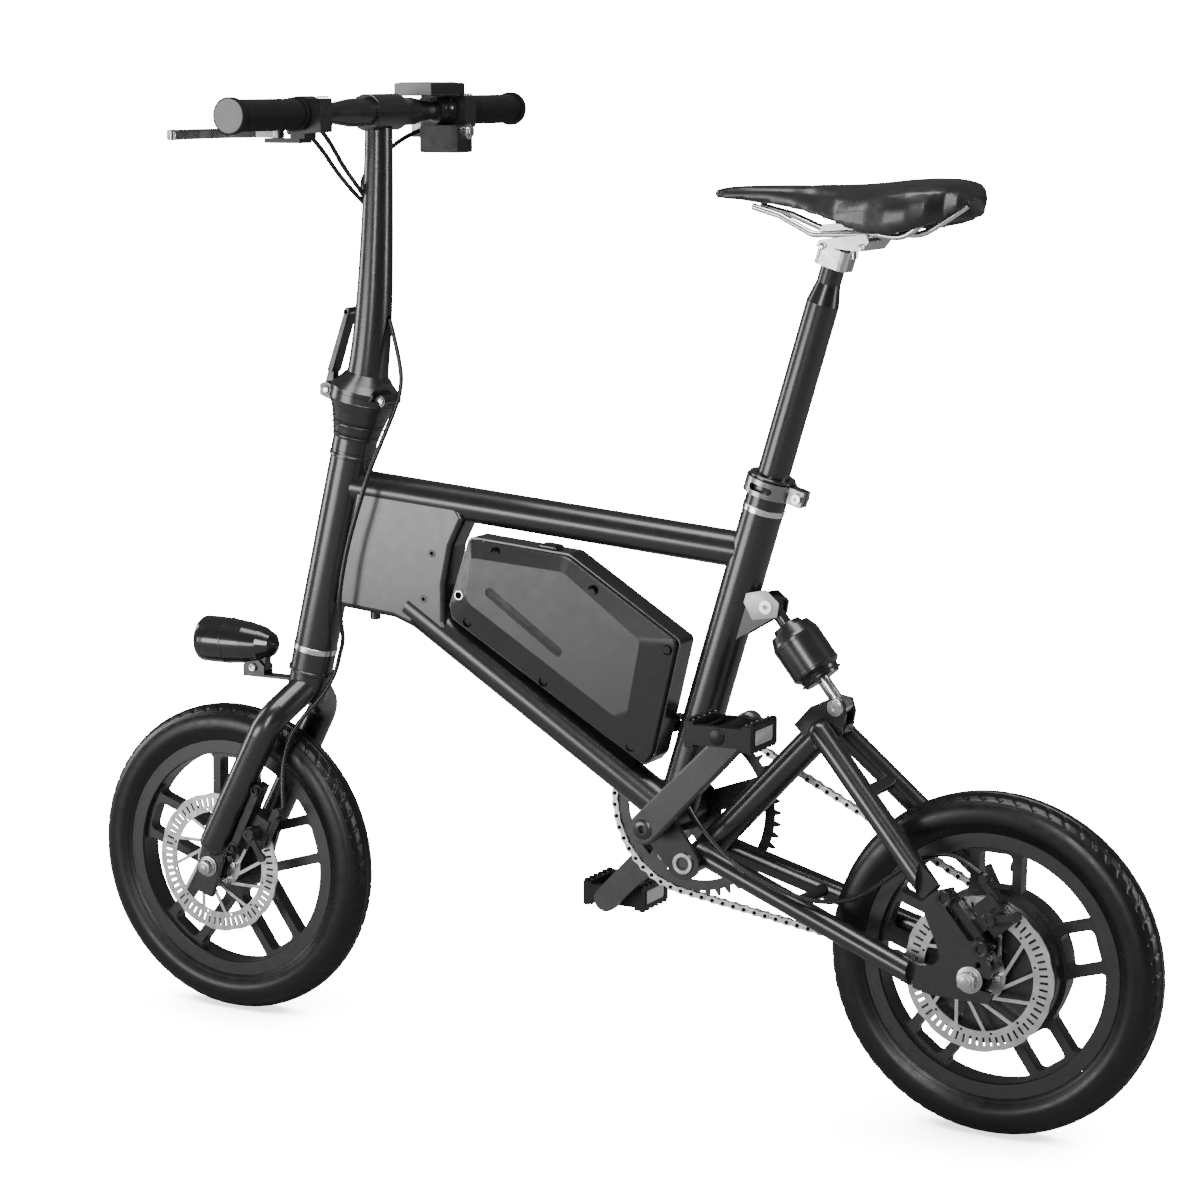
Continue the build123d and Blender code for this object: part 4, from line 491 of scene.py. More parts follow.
def soften(piece: Piece, width: float, segments: int = 2, angle: float = 35.0) -> Piece:
    """Rounds a piece's sharp edges.

    Args:
        piece: the piece.
        width: the rounding's width in millimetres.
        segments: faces across the rounding.
        angle: edges sharper than this, in degrees, are rounded.

    Returns:
        The same piece.
    """
    bevel = piece.modifiers.new("rounding", "BEVEL")
    bevel.width = width * MM
    bevel.segments = segments
    bevel.limit_method = "ANGLE"
    bevel.angle_limit = math.radians(angle)
    baked(piece)
    shade(piece)
    return piece


def merged(name: str, parts: Sequence[Piece]) -> Piece:
    """Joins several pieces of one finish into one mesh piece.

    Args:
        name: the joined piece's name.
        parts: the pieces, which are used up.

    Returns:
        The joined piece.
    """
    work = bmesh.new()
    for part in parts:
        work.from_mesh(part.data)
    mesh = bpy.data.meshes.new(name)
    work.to_mesh(mesh)
    work.free()
    for part in parts:
        bpy.data.objects.remove(part)
    piece = bpy.data.objects.new(name, mesh)
    bpy.context.scene.collection.objects.link(piece)
    shade(piece)
    return piece


def axis_frame(way: Point) -> tuple[Vector, Vector, Vector]:
    """Two directions square to an axis, and the axis itself, right-handed."""
    along = Vector(way).normalized()
    hint = Vector((0.0, 1.0, 0.0)) if abs(along.y) < 0.9 else Vector((1.0, 0.0, 0.0))
    first = hint.cross(along).normalized()
    return first, along.cross(first), along


def turned(
    name: str, origin: Point, way: Point, profile: Outline, steps: int = 48
) -> Piece:
    """Makes a turned piece.

    Args:
        name: the piece's name.
        origin: a point on its axis, in millimetres.
        way: the axis direction.
        profile: (radius, height) pairs; an end at radius 0 closes the piece, else the profile is a loop.
        steps: faces round the axis.

    Returns:
        The piece.
    """
    first, second, along = axis_frame(way)
    base = Vector(origin)
    points: list[Vector] = []
    for radius, height in profile:
        for k in range(steps):
            turn = 2 * math.pi * k / steps
            spoke = first * math.cos(turn) + second * math.sin(turn)
            points.append(base + along * height + spoke * radius)
    closed = profile[0][0] > 0 and profile[-1][0] > 0
    count = len(profile)
    faces = []
    for row in range(count if closed else count - 1):
        after = (row + 1) % count
        for k in range(steps):
            nxt = (k + 1) % steps
            faces.append((row * steps + k, row * steps + nxt, after * steps + nxt, after * steps + k))
    return mesh_object(name, points, faces)


def puck(name: str, start: Point, end: Point, radius: float, edge: float = 0.4, steps: int = 32) -> Piece:
    """Makes a round bar between two points with softened ends."""
    run = Vector(end) - Vector(start)
    length = run.length
    edge = min(edge, radius * 0.45, length * 0.45)
    half = edge * 0.3
    profile = [(0, 0), (radius - edge, 0), (radius - half, half), (radius, edge), (radius, length - edge)]
    profile += [(radius - half, length - half), (radius - edge, length), (0, length)]
    return turned(name, start, run, profile, steps)


def ring(name: str, start: Point, end: Point, inner: float, outer: float, edge: float = 0.4) -> Piece:
    """Makes a round band between two points with softened outer edges."""
    run = Vector(end) - Vector(start)
    length = run.length
    profile = [
        (inner, 0), (outer - edge, 0), (outer, edge), (outer, length - edge), (outer - edge, length),
        (inner, length)
    ]
    return turned(name, start, run, profile, 72)


def prism(
    name: str, outline: Outline, side_low: float, side_high: float, rounding: float = 0.8
) -> Piece:
    """Makes a plate with a lengthwise (X, Z) outline between two distances to the side.

    Args:
        name: the piece's name.
        outline: corners in millimetres, in order.
        side_low: lower Y in millimetres.
        side_high: higher Y in millimetres.
        rounding: width of its softened edges.

    Returns:
        The plate.
    """
    count = len(outline)
    points = [(x, side_low, z) for x, z in outline] + [(x, side_high, z) for x, z in outline]
    faces: list[Sequence[int]] = [tuple(range(count)), tuple(range(2 * count - 1, count - 1, -1))]
    faces += [(k, (k + 1) % count, count + (k + 1) % count, count + k) for k in range(count)]
    piece = mesh_object(name, points, faces)
    return soften(piece, rounding, 3) if rounding else piece


def hexagon(name: str, start: Point, end: Point, radius: float, edge: float = 0.6) -> Piece:
    """Makes a six-sided nut or bolt head between two points."""
    run = Vector(end) - Vector(start)
    profile = [(0, 0), (radius, 0), (radius, run.length), (0, run.length)]
    return soften(turned(name, start, run, profile, 6), edge, 2)


def socket_bolt(name: str, seat: Point, way: Point, radius: float, height: float) -> list[Piece]:
    """Makes a round bolt head with a sunk six-sided socket.

    Args:
        name: the bolt's name.
        seat: the middle of its seat, in millimetres.
        way: the direction it stands out.
        radius: the head's radius.
        height: the head's height.

    Returns:
        The head's pieces.
    """
    sink = height * 0.55
    edge = min(0.5, radius * 0.15)
    profile = [
        (0, height - sink), (radius * 0.52, height - sink), (radius * 0.55, height - 0.15),
        (radius * 0.6, height)
    ]
    profile += [(radius - edge, height), (radius, height - edge), (radius, 0), (0, 0)]
    return [turned(name, seat, way, profile, 24)]


def smooth_line(route: Sequence[Point], fineness: int = 10) -> list[Vector]:
    """Reads the points of a smooth curve guided by a route.

    Args:
        route: guide points in millimetres.
        fineness: points per guide span.

    Returns:
        Points along the curve, in millimetres.
    """
    data = bpy.data.curves.new("guide", "CURVE")
    data.dimensions = "3D"
    data.resolution_u = fineness
    spline = data.splines.new("NURBS")
    spline.points.add(len(route) - 1)
    for knot, place in zip(spline.points, route):
        knot.co = (place[0] * MM, place[1] * MM, place[2] * MM, 1.0)
    spline.order_u = 3
    spline.use_endpoint_u = True
    guide = bpy.data.objects.new("guide", data)
    bpy.context.scene.collection.objects.link(guide)
    bpy.context.view_layer.update()
    mesh = bpy.data.meshes.new_from_object(guide.evaluated_get(bpy.context.evaluated_depsgraph_get()))
    points = [vertex.co / MM for vertex in mesh.vertices]
    bpy.data.objects.remove(guide)
    bpy.data.meshes.remove(mesh)
    return points


def hose(name: str, line: Sequence[Vector], radius: float, sides: int = 14) -> Piece:
    """Makes a closed round tube that follows points.

    Args:
        name: the piece's name.
        line: points in millimetres.
        radius: the tube's radius.
        sides: faces round the tube.

    Returns:
        The tube.
    """
    ways = [(line[min(k + 1, len(line) - 1)] - line[max(k - 1, 0)]).normalized() for k in range(len(line))]
    across = axis_frame(ways[0])[0]
    points: list[Vector] = []
    for place, way in zip(line, ways):
        across = (across - way * across.dot(way)).normalized()
        other = way.cross(across)
        for k in range(sides):
            turn = 2 * math.pi * k / sides
            points.append(place + (across * math.cos(turn) + other * math.sin(turn)) * radius)
    last = (len(line) - 1) * sides
    faces: list[Sequence[int]] = []
    for row in range(len(line) - 1):
        for k in range(sides):
            nxt = (k + 1) % sides
            faces.append((row * sides + k, row * sides + nxt, (row + 1) * sides + nxt, (row + 1) * sides + k))
    faces.append(tuple(range(sides))[::-1])
    faces.append(tuple(range(last, last + sides)))
    return mesh_object(name, points, faces)


def _on_axis(foot: Flat, degrees: float, height: float, back: float, side: float) -> Vector:
    """Point at a height along an axis that leans back from its foot, in millimetres."""
    lean = math.radians(degrees)
    x = foot[0] + height * math.sin(lean) + back * math.cos(lean)
    z = foot[1] + height * math.cos(lean) - back * math.sin(lean)
    return Vector((x, side, z))


def on_head(height: float, back: float = 0.0, side: float = 0.0) -> Vector:
    """Point at a height along the steering axis, in millimetres."""
    return _on_axis(HEAD_FOOT, HEAD_LEAN, height, back, side)


def on_seat(height: float, back: float = 0.0, side: float = 0.0) -> Vector:
    """Point at a height along the seat axis above the crank axle, in millimetres."""
    return _on_axis(BRACKET, SEAT_LEAN, height, back, side)


def placed(
    piece: Piece, finish: Finish, body: str, replaces: Sequence[str] = ()
) -> Piece:
    """Gives a piece its finish and the body it moves with.

    Args:
        piece: the piece.
        finish: its surface.
        body: the CAD body it rides on.
        replaces: CAD nodes it stands for.

    Returns:
        The same piece.
    """
    piece.data.materials.clear()
    piece.data.materials.append(finish.material())
    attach(piece, body)
    if replaces:
        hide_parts(*replaces)
    log.info("%s: %s on %s, %d faces", piece.name, finish.name, body, len(piece.data.polygons))
    return piece


@dataclass
class Repeat:
    """Copies small items to many places with a node group.

    Each place is (point, turn, stretch, second), in millimetres and radians.
    """

    name: str
    finish: Finish
    places: Sequence[tuple[Point, Point, Point, bool]]
    play: float = 0.0
    seed: int = 7

    def build(self, item: Piece, second: Piece | None = None) -> Piece:
        """Makes the joined copies.

        Args:
            item: what is copied, made round the origin.
            second: what is copied to the places marked second.

        Returns:
            One mesh piece without modifiers.
        """
        holder = self._holder()
        tree = self._tree()
        modifier = holder.modifiers.new("copies", "NODES")
        modifier.node_group = tree
        names = {
            socket.name: socket.identifier for socket in tree.interface.items_tree if socket.in_out == "INPUT"
        }
        modifier[names["Item"]] = item
        modifier[names["Second"]] = second or item
        modifier[names["Finish"]] = self.finish.material()
        modifier[names["Play"]] = self.play
        modifier[names["Seed"]] = self.seed
        holder.update_tag()
        baked(holder)
        holder.name = self.name
        shade(holder)
        for used in {item, second or item}:
            bpy.data.objects.remove(used)
        return holder

    def _holder(self) -> Piece:
        """Makes the points that carry each copy's place and turn."""
        mesh = bpy.data.meshes.new(self.name)
        mesh.from_pydata([tuple(c * MM for c in place[0]) for place in self.places], [], [])
        for label, column in (("turn", 1), ("stretch", 2)):
            layer = mesh.attributes.new(label, "FLOAT_VECTOR", "POINT")
            layer.data.foreach_set("vector", [float(c) for place in self.places for c in place[column]])
        kind = mesh.attributes.new("second", "BOOLEAN", "POINT")
        kind.data.foreach_set("value", [place[3] for place in self.places])
        holder = bpy.data.objects.new(self.name + "_points", mesh)
        bpy.context.scene.collection.objects.link(holder)
        return holder

    def _tree(self) -> Tree:
        """Makes the node group that puts the copies."""
        tree = bpy.data.node_groups.new(self.name + "_copies", "GeometryNodeTree")
        tree.interface.new_socket("Points", in_out="INPUT", socket_type="NodeSocketGeometry")
        tree.interface.new_socket("Item", in_out="INPUT", socket_type="NodeSocketObject")
        tree.interface.new_socket("Second", in_out="INPUT", socket_type="NodeSocketObject")
        tree.interface.new_socket("Finish", in_out="INPUT", socket_type="NodeSocketMaterial")
        tree.interface.new_socket("Play", in_out="INPUT", socket_type="NodeSocketFloat")
        tree.interface.new_socket("Seed", in_out="INPUT", socket_type="NodeSocketInt")
        tree.interface.new_socket("Copies", in_out="OUTPUT", socket_type="NodeSocketGeometry")
        inputs = tree.nodes.new("NodeGroupInput")
        outputs = tree.nodes.new("NodeGroupOutput")
        turn = self._named(tree, "turn", "FLOAT_VECTOR")
        stretch = self._named(tree, "stretch", "FLOAT_VECTOR")
        kind = self._named(tree, "second", "BOOLEAN")
        play = tree.nodes.new("FunctionNodeRandomValue")
        play.data_type = "FLOAT"
        tree.links.new(inputs.outputs["Play"], play.inputs[3])
        negative = tree.nodes.new("ShaderNodeMath")
        negative.operation = "MULTIPLY"
        negative.inputs[1].default_value = -1.0
        tree.links.new(inputs.outputs["Play"], negative.inputs[0])
        tree.links.new(negative.outputs[0], play.inputs[2])
        tree.links.new(inputs.outputs["Seed"], play.inputs["Seed"])
        tilt = tree.nodes.new("ShaderNodeCombineXYZ")
        tree.links.new(play.outputs[1], tilt.inputs["Y"])
        total = tree.nodes.new("ShaderNodeVectorMath")
        tree.links.new(turn, total.inputs[0])
        tree.links.new(tilt.outputs[0], total.inputs[1])
        spin = tree.nodes.new("FunctionNodeEulerToRotation")
        tree.links.new(total.outputs[0], spin.inputs[0])
        joined = tree.nodes.new("GeometryNodeJoinGeometry")
        for label in ("Item", "Second"):
            info = tree.nodes.new("GeometryNodeObjectInfo")
            tree.links.new(inputs.outputs[label], info.inputs["Object"])
            put = tree.nodes.new("GeometryNodeInstanceOnPoints")
            tree.links.new(inputs.outputs["Points"], put.inputs["Points"])
            tree.links.new(info.outputs["Geometry"], put.inputs["Instance"])
            tree.links.new(spin.outputs[0], put.inputs["Rotation"])
            tree.links.new(stretch, put.inputs["Scale"])
            if label == "Second":
                tree.links.new(kind, put.inputs["Selection"])
            else:
                other = tree.nodes.new("FunctionNodeBooleanMath")
                other.operation = "NOT"
                tree.links.new(kind, other.inputs[0])
                tree.links.new(other.outputs[0], put.inputs["Selection"])
            tree.links.new(put.outputs["Instances"], joined.inputs[0])
        real = tree.nodes.new("GeometryNodeRealizeInstances")
        tree.links.new(joined.outputs[0], real.inputs[0])
        dressed = tree.nodes.new("GeometryNodeSetMaterial")
        tree.links.new(real.outputs[0], dressed.inputs["Geometry"])
        tree.links.new(inputs.outputs["Finish"], dressed.inputs["Material"])
        tree.links.new(dressed.outputs[0], outputs.inputs[0])
        return tree

    @staticmethod
    def _named(tree: Tree, label: str, kind: str) -> Socket:
        """Reads a named attribute of the points."""
        node = tree.nodes.new("GeometryNodeInputNamedAttribute")
        node.data_type = kind
        node.inputs["Name"].default_value = label
        return node.outputs["Attribute"]


def spot(point: Point, turn: Point = (0.0, 0.0, 0.0)) -> tuple[Point, Point, Point, bool]:
    """A place for an unstretched copy of the first item."""
    return (point, turn, (1.0, 1.0, 1.0), False)


# --- pieces ----------------------------------------------------------------
@dataclass
class Tyre:
    """Slick-sided small tyre with a centre tread of slanted sipes."""

    name: str
    body: str
    axle_x: float
    axle_z: float = 177.0
    tread_step: float = 6.0
    sipe_depth: float = 1.1
    steps: int = 720

    def build(self) -> Piece:
        """Makes the tyre in place of the plain one."""
        half = [
            (22.4, 153.5), (21.9, 160.5), (20.2, 166.2), (17.0, 170.8), (12.5, 174.4), (7.0, 176.4),
            (2.5, 176.95)
        ]
        low = [
            (12.6, 138.3), (15.2, 137.4), (16.6, 139.6), (17.4, 141.5), (18.0, 141.6), (20.4, 146.0),
            (21.9, 149.6)
        ]
        right = low + half
        rows = self._dense([(y, r) for y, r in right] + [(-y, r) for y, r in reversed(right)])
        inner = [
            (-12.6, 138.3), (-12.0, 142.0), (-16.0, 148.0), (-18.0, 155.0), (-16.0, 165.0), (-9.0, 172.0),
            (0.0, 173.2)
        ]
        inner += [(9.0, 172.0), (16.0, 165.0), (18.0, 155.0), (16.0, 148.0), (12.0, 142.0)]
        profile = rows + inner
        count = len(profile)
        sides = np.array([p[0] for p in profile])
        radii = np.array([p[1] for p in profile])
        turns = np.arange(self.steps) * 2 * math.pi / self.steps
        outer = np.arange(count) < len(rows)
        arc = np.degrees(turns)[:, None]
        reach = np.abs(sides)[None, :]
        hand = np.where(sides >= 0, 0.5, 0.0)[None, :]
        phase = ((arc + 0.32 * (reach - 5.0)) / self.tread_step + hand) % 1.0
        sipe = (phase < 0.24) & (reach > 5.5) & (reach < 16.5) & (radii[None, :] > 168)
        groove = (np.abs(reach - 4.2) < 0.7) & (radii[None, :] > 170)
        sunk = np.where((sipe | groove) & outer[None, :], self.sipe_depth, 0.0)
        span = radii[None, :] - sunk
        x = self.axle_x + np.cos(turns)[:, None] * span
        z = self.axle_z + np.sin(turns)[:, None] * span
        y = np.broadcast_to(sides[None, :], x.shape)
        points = np.stack([x, y, z], axis=2).reshape(-1, 3)
        faces = []
        for k in range(self.steps):
            nxt = (k + 1) % self.steps
            for row in range(count):
                after = (row + 1) % count
                faces.append((k * count + row, k * count + after, nxt * count + after, nxt * count + row))
        tyre = mesh_object(f"{self.name}_treaded", points.tolist(), faces)
        return placed(tyre, TYRE_RUBBER, self.body, [self.name])

    @staticmethod
    def _dense(line: Outline) -> list[Flat]:
        """Adds points over the tread so that the sipes have clean ends."""
        out: list[Flat] = []
        for (y0, r0), (y1, r1) in zip(line, line[1:]):
            parts = max(1, round(math.hypot(y1 - y0, r1 - r0) / 1.4)) if min(r0, r1) > 165 else 1
            out += [(y0 + (y1 - y0) * k / parts, r0 + (r1 - r0) * k / parts) for k in range(parts)]
        return out + [line[-1]]


@dataclass
class SaddlePad:
    """Padded saddle: thin nose, flared wings and a hollow underside."""

    swell: float = 4.0
    voxel: float = 4.0
    steps: int = 20
    pressure: float = 4.0
    # x, half width, top, widest height, lower edge, underside middle
    stations: tuple[tuple[float, ...], ...] = (
        (141.5, 4.5, 942.5, 940.5, 938.0, 939.0),
        (146, 9.5, 945.5, 940.5, 935.0, 935.5),
        (158, 13.5, 947.8, 941.0, 933.5, 934.5),
        (176, 16.0, 949.4, 941.0, 933.0, 934.5),
        (205, 17.5, 950.5, 940.5, 931.5, 934.0),
        (235, 19.0, 951.2, 939.0, 927.5, 933.0),
        (262, 24.0, 951.8, 936.0, 922.5, 932.5),
        (288, 33.0, 952.4, 932.5, 915.5, 933.0),
        (312, 46.5, 953.6, 929.5, 908.5, 934.5),
        (335, 59.5, 955.8, 929.5, 904.5, 937.0),
        (358, 68.0, 958.6, 931.5, 905.5, 939.5),
        (382, 71.5, 960.4, 934.5, 909.5, 941.0),
        (402, 68.0, 960.2, 938.5, 915.0, 942.0),
        (416, 57.0, 957.6, 941.0, 921.5, 942.0),
        (424, 41.0, 953.0, 941.0, 928.5, 941.5),
        (428, 20.0, 948.0, 941.0, 934.0, 940.5),
    )

    def build(self) -> Piece:
        pad = self._shell()
        pad = self._swollen(pad)
        finer = pad.modifiers.new("finer", "SUBSURF")
        finer.levels = finer.render_levels = 1
        baked(pad)
        pad.name = "saddle_pad"
        shade(pad, 80)
        placed(pad, SADDLE_LEATHER, "seat", ["saddle"])
        return pad

    def _shell(self) -> Piece:
        """Lofts the closed shape through its stations."""
        rows: list[list[tuple[float, float, float]]] = []
        for x, wide, top, side, low, under in self.stations:
            height = top - side
            half = [(0.0, top), (0.42 * wide, top - 0.05 * height), (0.74 * wide, top - 0.2 * height)]
            half += [
                (0.93 * wide, top - 0.52 * height), (wide, side), (0.985 * wide, side + (low - side) * 0.55)
            ]
            half += [(0.93 * wide, low + 1.2), (0.86 * wide, low), (0.76 * wide, low + 0.25 * (under - low))]
            half += [(0.55 * wide, low + 0.8 * (under - low)), (0.28 * wide, under), (0.0, under)]
            ring_points = half + [(-y, z) for y, z in reversed(half[1:-1])]
            rows.append([(x, y, z) for y, z in ring_points])
        count = len(rows[0])
        points = [point for row in rows for point in row]
        faces: list[Sequence[int]] = []
        for k in range(len(rows) - 1):
            for j in range(count):
                nxt = (j + 1) % count
                faces.append((k * count + j, k * count + nxt, (k + 1) * count + nxt, (k + 1) * count + j))
        faces.append(tuple(range(count)))
        faces.append(tuple(range(len(points) - 1, len(points) - 1 - count, -1)))
        return mesh_object("saddle_shell", points, faces)

    def _swollen(self, pad: Piece) -> Piece:
        """Swells the pad by a short cloth simulation, within a cap.

        Args:
            pad: the closed shape.

        Returns:
            The swollen pad.
        """
        remesh = pad.modifiers.new("even", "REMESH")
        remesh.mode = "VOXEL"
        remesh.voxel_size = self.voxel * MM
        baked(pad)
        normals = np.array([v.normal for v in pad.data.vertices])
        rest = np.array([v.co for v in pad.data.vertices])
        start = rest - normals * (0.8 * MM)
        pad.data.vertices.foreach_set("co", start.ravel())
        pad.data.update()
        cloth = pad.modifiers.new("cloth", "CLOTH")
        cloth.settings.use_pressure = True
        cloth.settings.uniform_pressure_force = self.pressure
        cloth.settings.effector_weights.gravity = 0.0
        cloth.settings.tension_stiffness = 25.0
        cloth.settings.bending_stiffness = 5.0
        cloth.point_cache.frame_start = 1
        cloth.point_cache.frame_end = self.steps
        scene = bpy.context.scene
        for frame in range(1, self.steps + 1):
            scene.frame_set(frame)
        baked(pad)
        moved = np.array([v.co for v in pad.data.vertices])
        shift = moved - start
        length = np.linalg.norm(shift, axis=1, keepdims=True)
        cap = 0.5 * self.swell * MM
        shift *= np.minimum(1.0, cap / np.maximum(length, 1e-9))
        pad.data.vertices.foreach_set("co", (start + shift).ravel())
        pad.data.update()
        scene.frame_set(1)
        log.info("saddle swelled by %.1f mm at most", float(min(length.max(), cap)) / MM)
        return pad


# Rubber rests that cover the two lugs under the battery.
LUG_FRONT = [(-125.6, 456.0), (-74.4, 426.0), (-81.5, 408.0), (-132.6, 440.0)]
LUG_REAR = [(24.4, 368.0), (60.6, 346.8), (52.6, 328.0), (16.4, 350.0)]


def edge_distance(point: Flat, outline: Outline) -> float:
    """Distance from a point to the nearest edge of a closed outline."""
    best = math.inf
    for (x0, z0), (x1, z1) in zip(outline, (*outline[1:], outline[0])):
        dx, dz = x1 - x0, z1 - z0
        share = max(0.0, min(1.0, ((point[0] - x0) * dx + (point[1] - z0) * dz) / (dx * dx + dz * dz)))
        best = min(best, math.hypot(point[0] - x0 - share * dx, point[1] - z0 - share * dz))
    return best


def rounded_outline(
    outline: Outline, radius: float, grow: float = 0.0, steps: int = 6
) -> list[Flat]:
    """Rounds each corner of a clockwise closed outline.

    Args:
        outline: corners in millimetres.
        radius: the corners' radius, less where an edge is short.
        grow: how far the outline first moves outwards.
        steps: spans in each corner.

    Returns:
        Points of the rounded outline, the same number at every corner.
    """
    count = len(outline)
    corners = [Vector((x, z)) for x, z in outline]
    middle = sum(corners, Vector((0.0, 0.0))) / count
    if grow:
        corners = [corner + (corner - middle).normalized() * grow for corner in corners]
    out: list[Flat] = []
    for k, here in enumerate(corners):
        before, after = corners[k - 1], corners[(k + 1) % count]
        back, ahead = (before - here), (after - here)
        reach = min(radius, back.length * 0.42, ahead.length * 0.42)
        start = here + back.normalized() * reach
        end = here + ahead.normalized() * reach
        for j in range(steps + 1):
            t = j / steps
            point = start * (1 - t) ** 2 + here * (2 * t * (1 - t)) + end * t**2
            out.append((point.x, point.y))
    return out


@dataclass
class BatteryTrim:
    """The battery's two covers, their slots and screws, its charging port, rests and top tab."""

    cover_side: float = 20.5
    height: float = 9.0
    border: tuple[Flat, ...] = (
        (-139.4, 568.6), (-20.0, 558.8), (111.3, 478.1), (81.9, 354.6), (72.3, 344.4),
        (-161.5, 481.3), (-164.7, 494.5)
    )
    field: tuple[Flat, ...] = (
        (-132.0, 550.6), (-19.2, 543.6), (72.7, 478.5), (57.2, 398.5), (43.6, 393.7),
        (-134.6, 500.8), (-138.4, 507.2)
    )
    slot_ends: tuple[Flat, Flat] = ((-108.5, 514.3), (-25.5, 458.0))
    slot_radius: float = 5.5
    port: Flat = (-148.6, 508.2)
    screws: tuple[Flat, ...] = (
        (-104.3, 557.8), (14.7, 526.3), (100.7, 469.6), (57.8, 362.3), (-47.4, 422.4), (-140.6, 478.8)
    )

    def build(self) -> None:
        """Makes the covers in place of the plain ones, and their details."""
        for sign, side in SIDES:
            placed(
                self._cover(f"battery_cover_{side}", sign), COVER_PLASTIC, "frame",
                ["battery_covers"] if sign < 0 else []
            )
            heads: list[Piece] = []
            wells: list[Piece] = []
            for x, z in self.screws:
                seat = self.cover_side + self._rise(x, z)
                well = [(0, -2.5), (4.2, -2.5), (4.2, 0.5), (4.9, 0.7), (5.4, 0.3), (5.4, -3.0), (0, -3.0)]
                wells.append(turned("well", (x, sign * seat, z), (0, sign, 0), well, 28))
                heads += socket_bolt("screw", (x, sign * (seat - 2.4), z), (0, sign, 0), 3.3, 1.6)
            sides = sorted(
                (sign * (self.cover_side + self.height - 1.6), sign * (self.cover_side + self.height - 1.2))
            )
            placed(
                prism(f"battery_slot_{side}", self._stadium(self.slot_radius - 1.2), sides[0], sides[1], 0.1),
                SLOT_DARK, "frame"
            )
            placed(merged(f"battery_screws_{side}", heads), PAD_RUBBER, "frame")
            placed(merged(f"battery_screw_wells_{side}", wells), PAD_RUBBER, "frame")
        x, z = self.port
        out = self.cover_side + self._rise(x, z)
        placed(
            ring("charging_port_ring", (x, -out + 3.0, z), (x, -out - 2.6, z), 3.9, 5.4, 0.4), BRIGHT_STEEL,
            "frame"
        )
        placed(puck("charging_port_plug", (x, -out + 2.0, z), (x, -out - 1.9, z), 3.9), PAD_RUBBER, "frame")
        for name, pad in (("front", LUG_FRONT), ("rear", LUG_REAR)):
            placed(prism(f"battery_rest_{name}", pad, -12.9, 12.9, 0.3), PAD_RUBBER, "frame")
        tab = prism("battery_top_tab", [(-62, 564.0), (-58, 568.5), (-40, 567.0), (-37, 562.0)], -9, 9, 1.2)
        placed(tab, CASE_PLASTIC, "frame")

    def _stadium(self, radius: float, steps: int = 14) -> list[Flat]:
        """Outline of the slot, widened to a radius."""
        (x0, z0), (x1, z1) = self.slot_ends
        lean = math.atan2(z1 - z0, x1 - x0)
        out = []
        for (x, z), base in (((x1, z1), lean - math.pi / 2), ((x0, z0), lean + math.pi / 2)):
            for k in range(steps + 1):
                turn = base + math.pi * k / steps
                out.append((x + radius * math.cos(turn), z + radius * math.sin(turn)))
        return out

    def _rise(self, x: float, z: float) -> float:
        """Height of the cover's slope above its border at a point."""
        low = edge_distance((x, z), self.border)
        high = edge_distance((x, z), self.field)
        return self.height * low / max(low + high, 1e-6)

    def _cover(self, name: str, sign: int) -> Piece:
        """Makes one cover: a slope from its edge to a raised field with a sunk slot.

        Args:
            name: the piece's name.
            sign: -1 for the left side, 1 for the right side.

        Returns:
            The cover.
        """
        border = rounded_outline(self.border, 7.0)
        field = rounded_outline(self.field, 5.0)
        slot = self._stadium(self.slot_radius)
        floor = self._stadium(self.slot_radius - 0.6)
        low, high = self.cover_side, self.cover_side + self.height
        work = bmesh.new()
        loops = []
        for loop, side in (
            (border, 15.6), (border, low - 1.6), (rounded_outline(self.border, 7.0, -1.2), low),
            (field, high), (slot, high), (floor, high - 1.4)
        ):
            loops.append([work.verts.new((x * MM, sign * side * MM, z * MM)) for x, z in loop])
        for lower, upper in zip(loops[:3], loops[1:4]):
            for k in range(len(lower)):
                nxt = (k + 1) % len(lower)
                work.faces.new((lower[k], lower[nxt], upper[nxt], upper[k]))
        for k in range(len(loops[4])):
            nxt = (k + 1) % len(loops[4])
            work.faces.new((loops[4][k], loops[4][nxt], loops[5][nxt], loops[5][k]))
        work.faces.new(loops[5])
        work.faces.new(loops[0])
        edges = []
        for loop in (loops[3], loops[4]):
            edges += [work.edges.get((loop[k], loop[(k + 1) % len(loop)])) for k in range(len(loop))]
        bmesh.ops.triangle_fill(work, use_beauty=True, use_dissolve=False, edges=edges)
        bmesh.ops.recalc_face_normals(work, faces=work.faces)
        mesh = bpy.data.meshes.new(name)
        work.to_mesh(mesh)
        work.free()
        cover = bpy.data.objects.new(name, mesh)
        bpy.context.scene.collection.objects.link(cover)
        bevel = cover.modifiers.new("rounding", "BEVEL")
        bevel.width = 0.9 * MM
        bevel.segments = 3
        bevel.limit_method = "ANGLE"
        bevel.angle_limit = math.radians(12.0)
        for face in cover.data.polygons:
            face.use_smooth = True
        cover.modifiers.new("even_shading", "WEIGHTED_NORMAL").weight = 100
        return baked(cover)


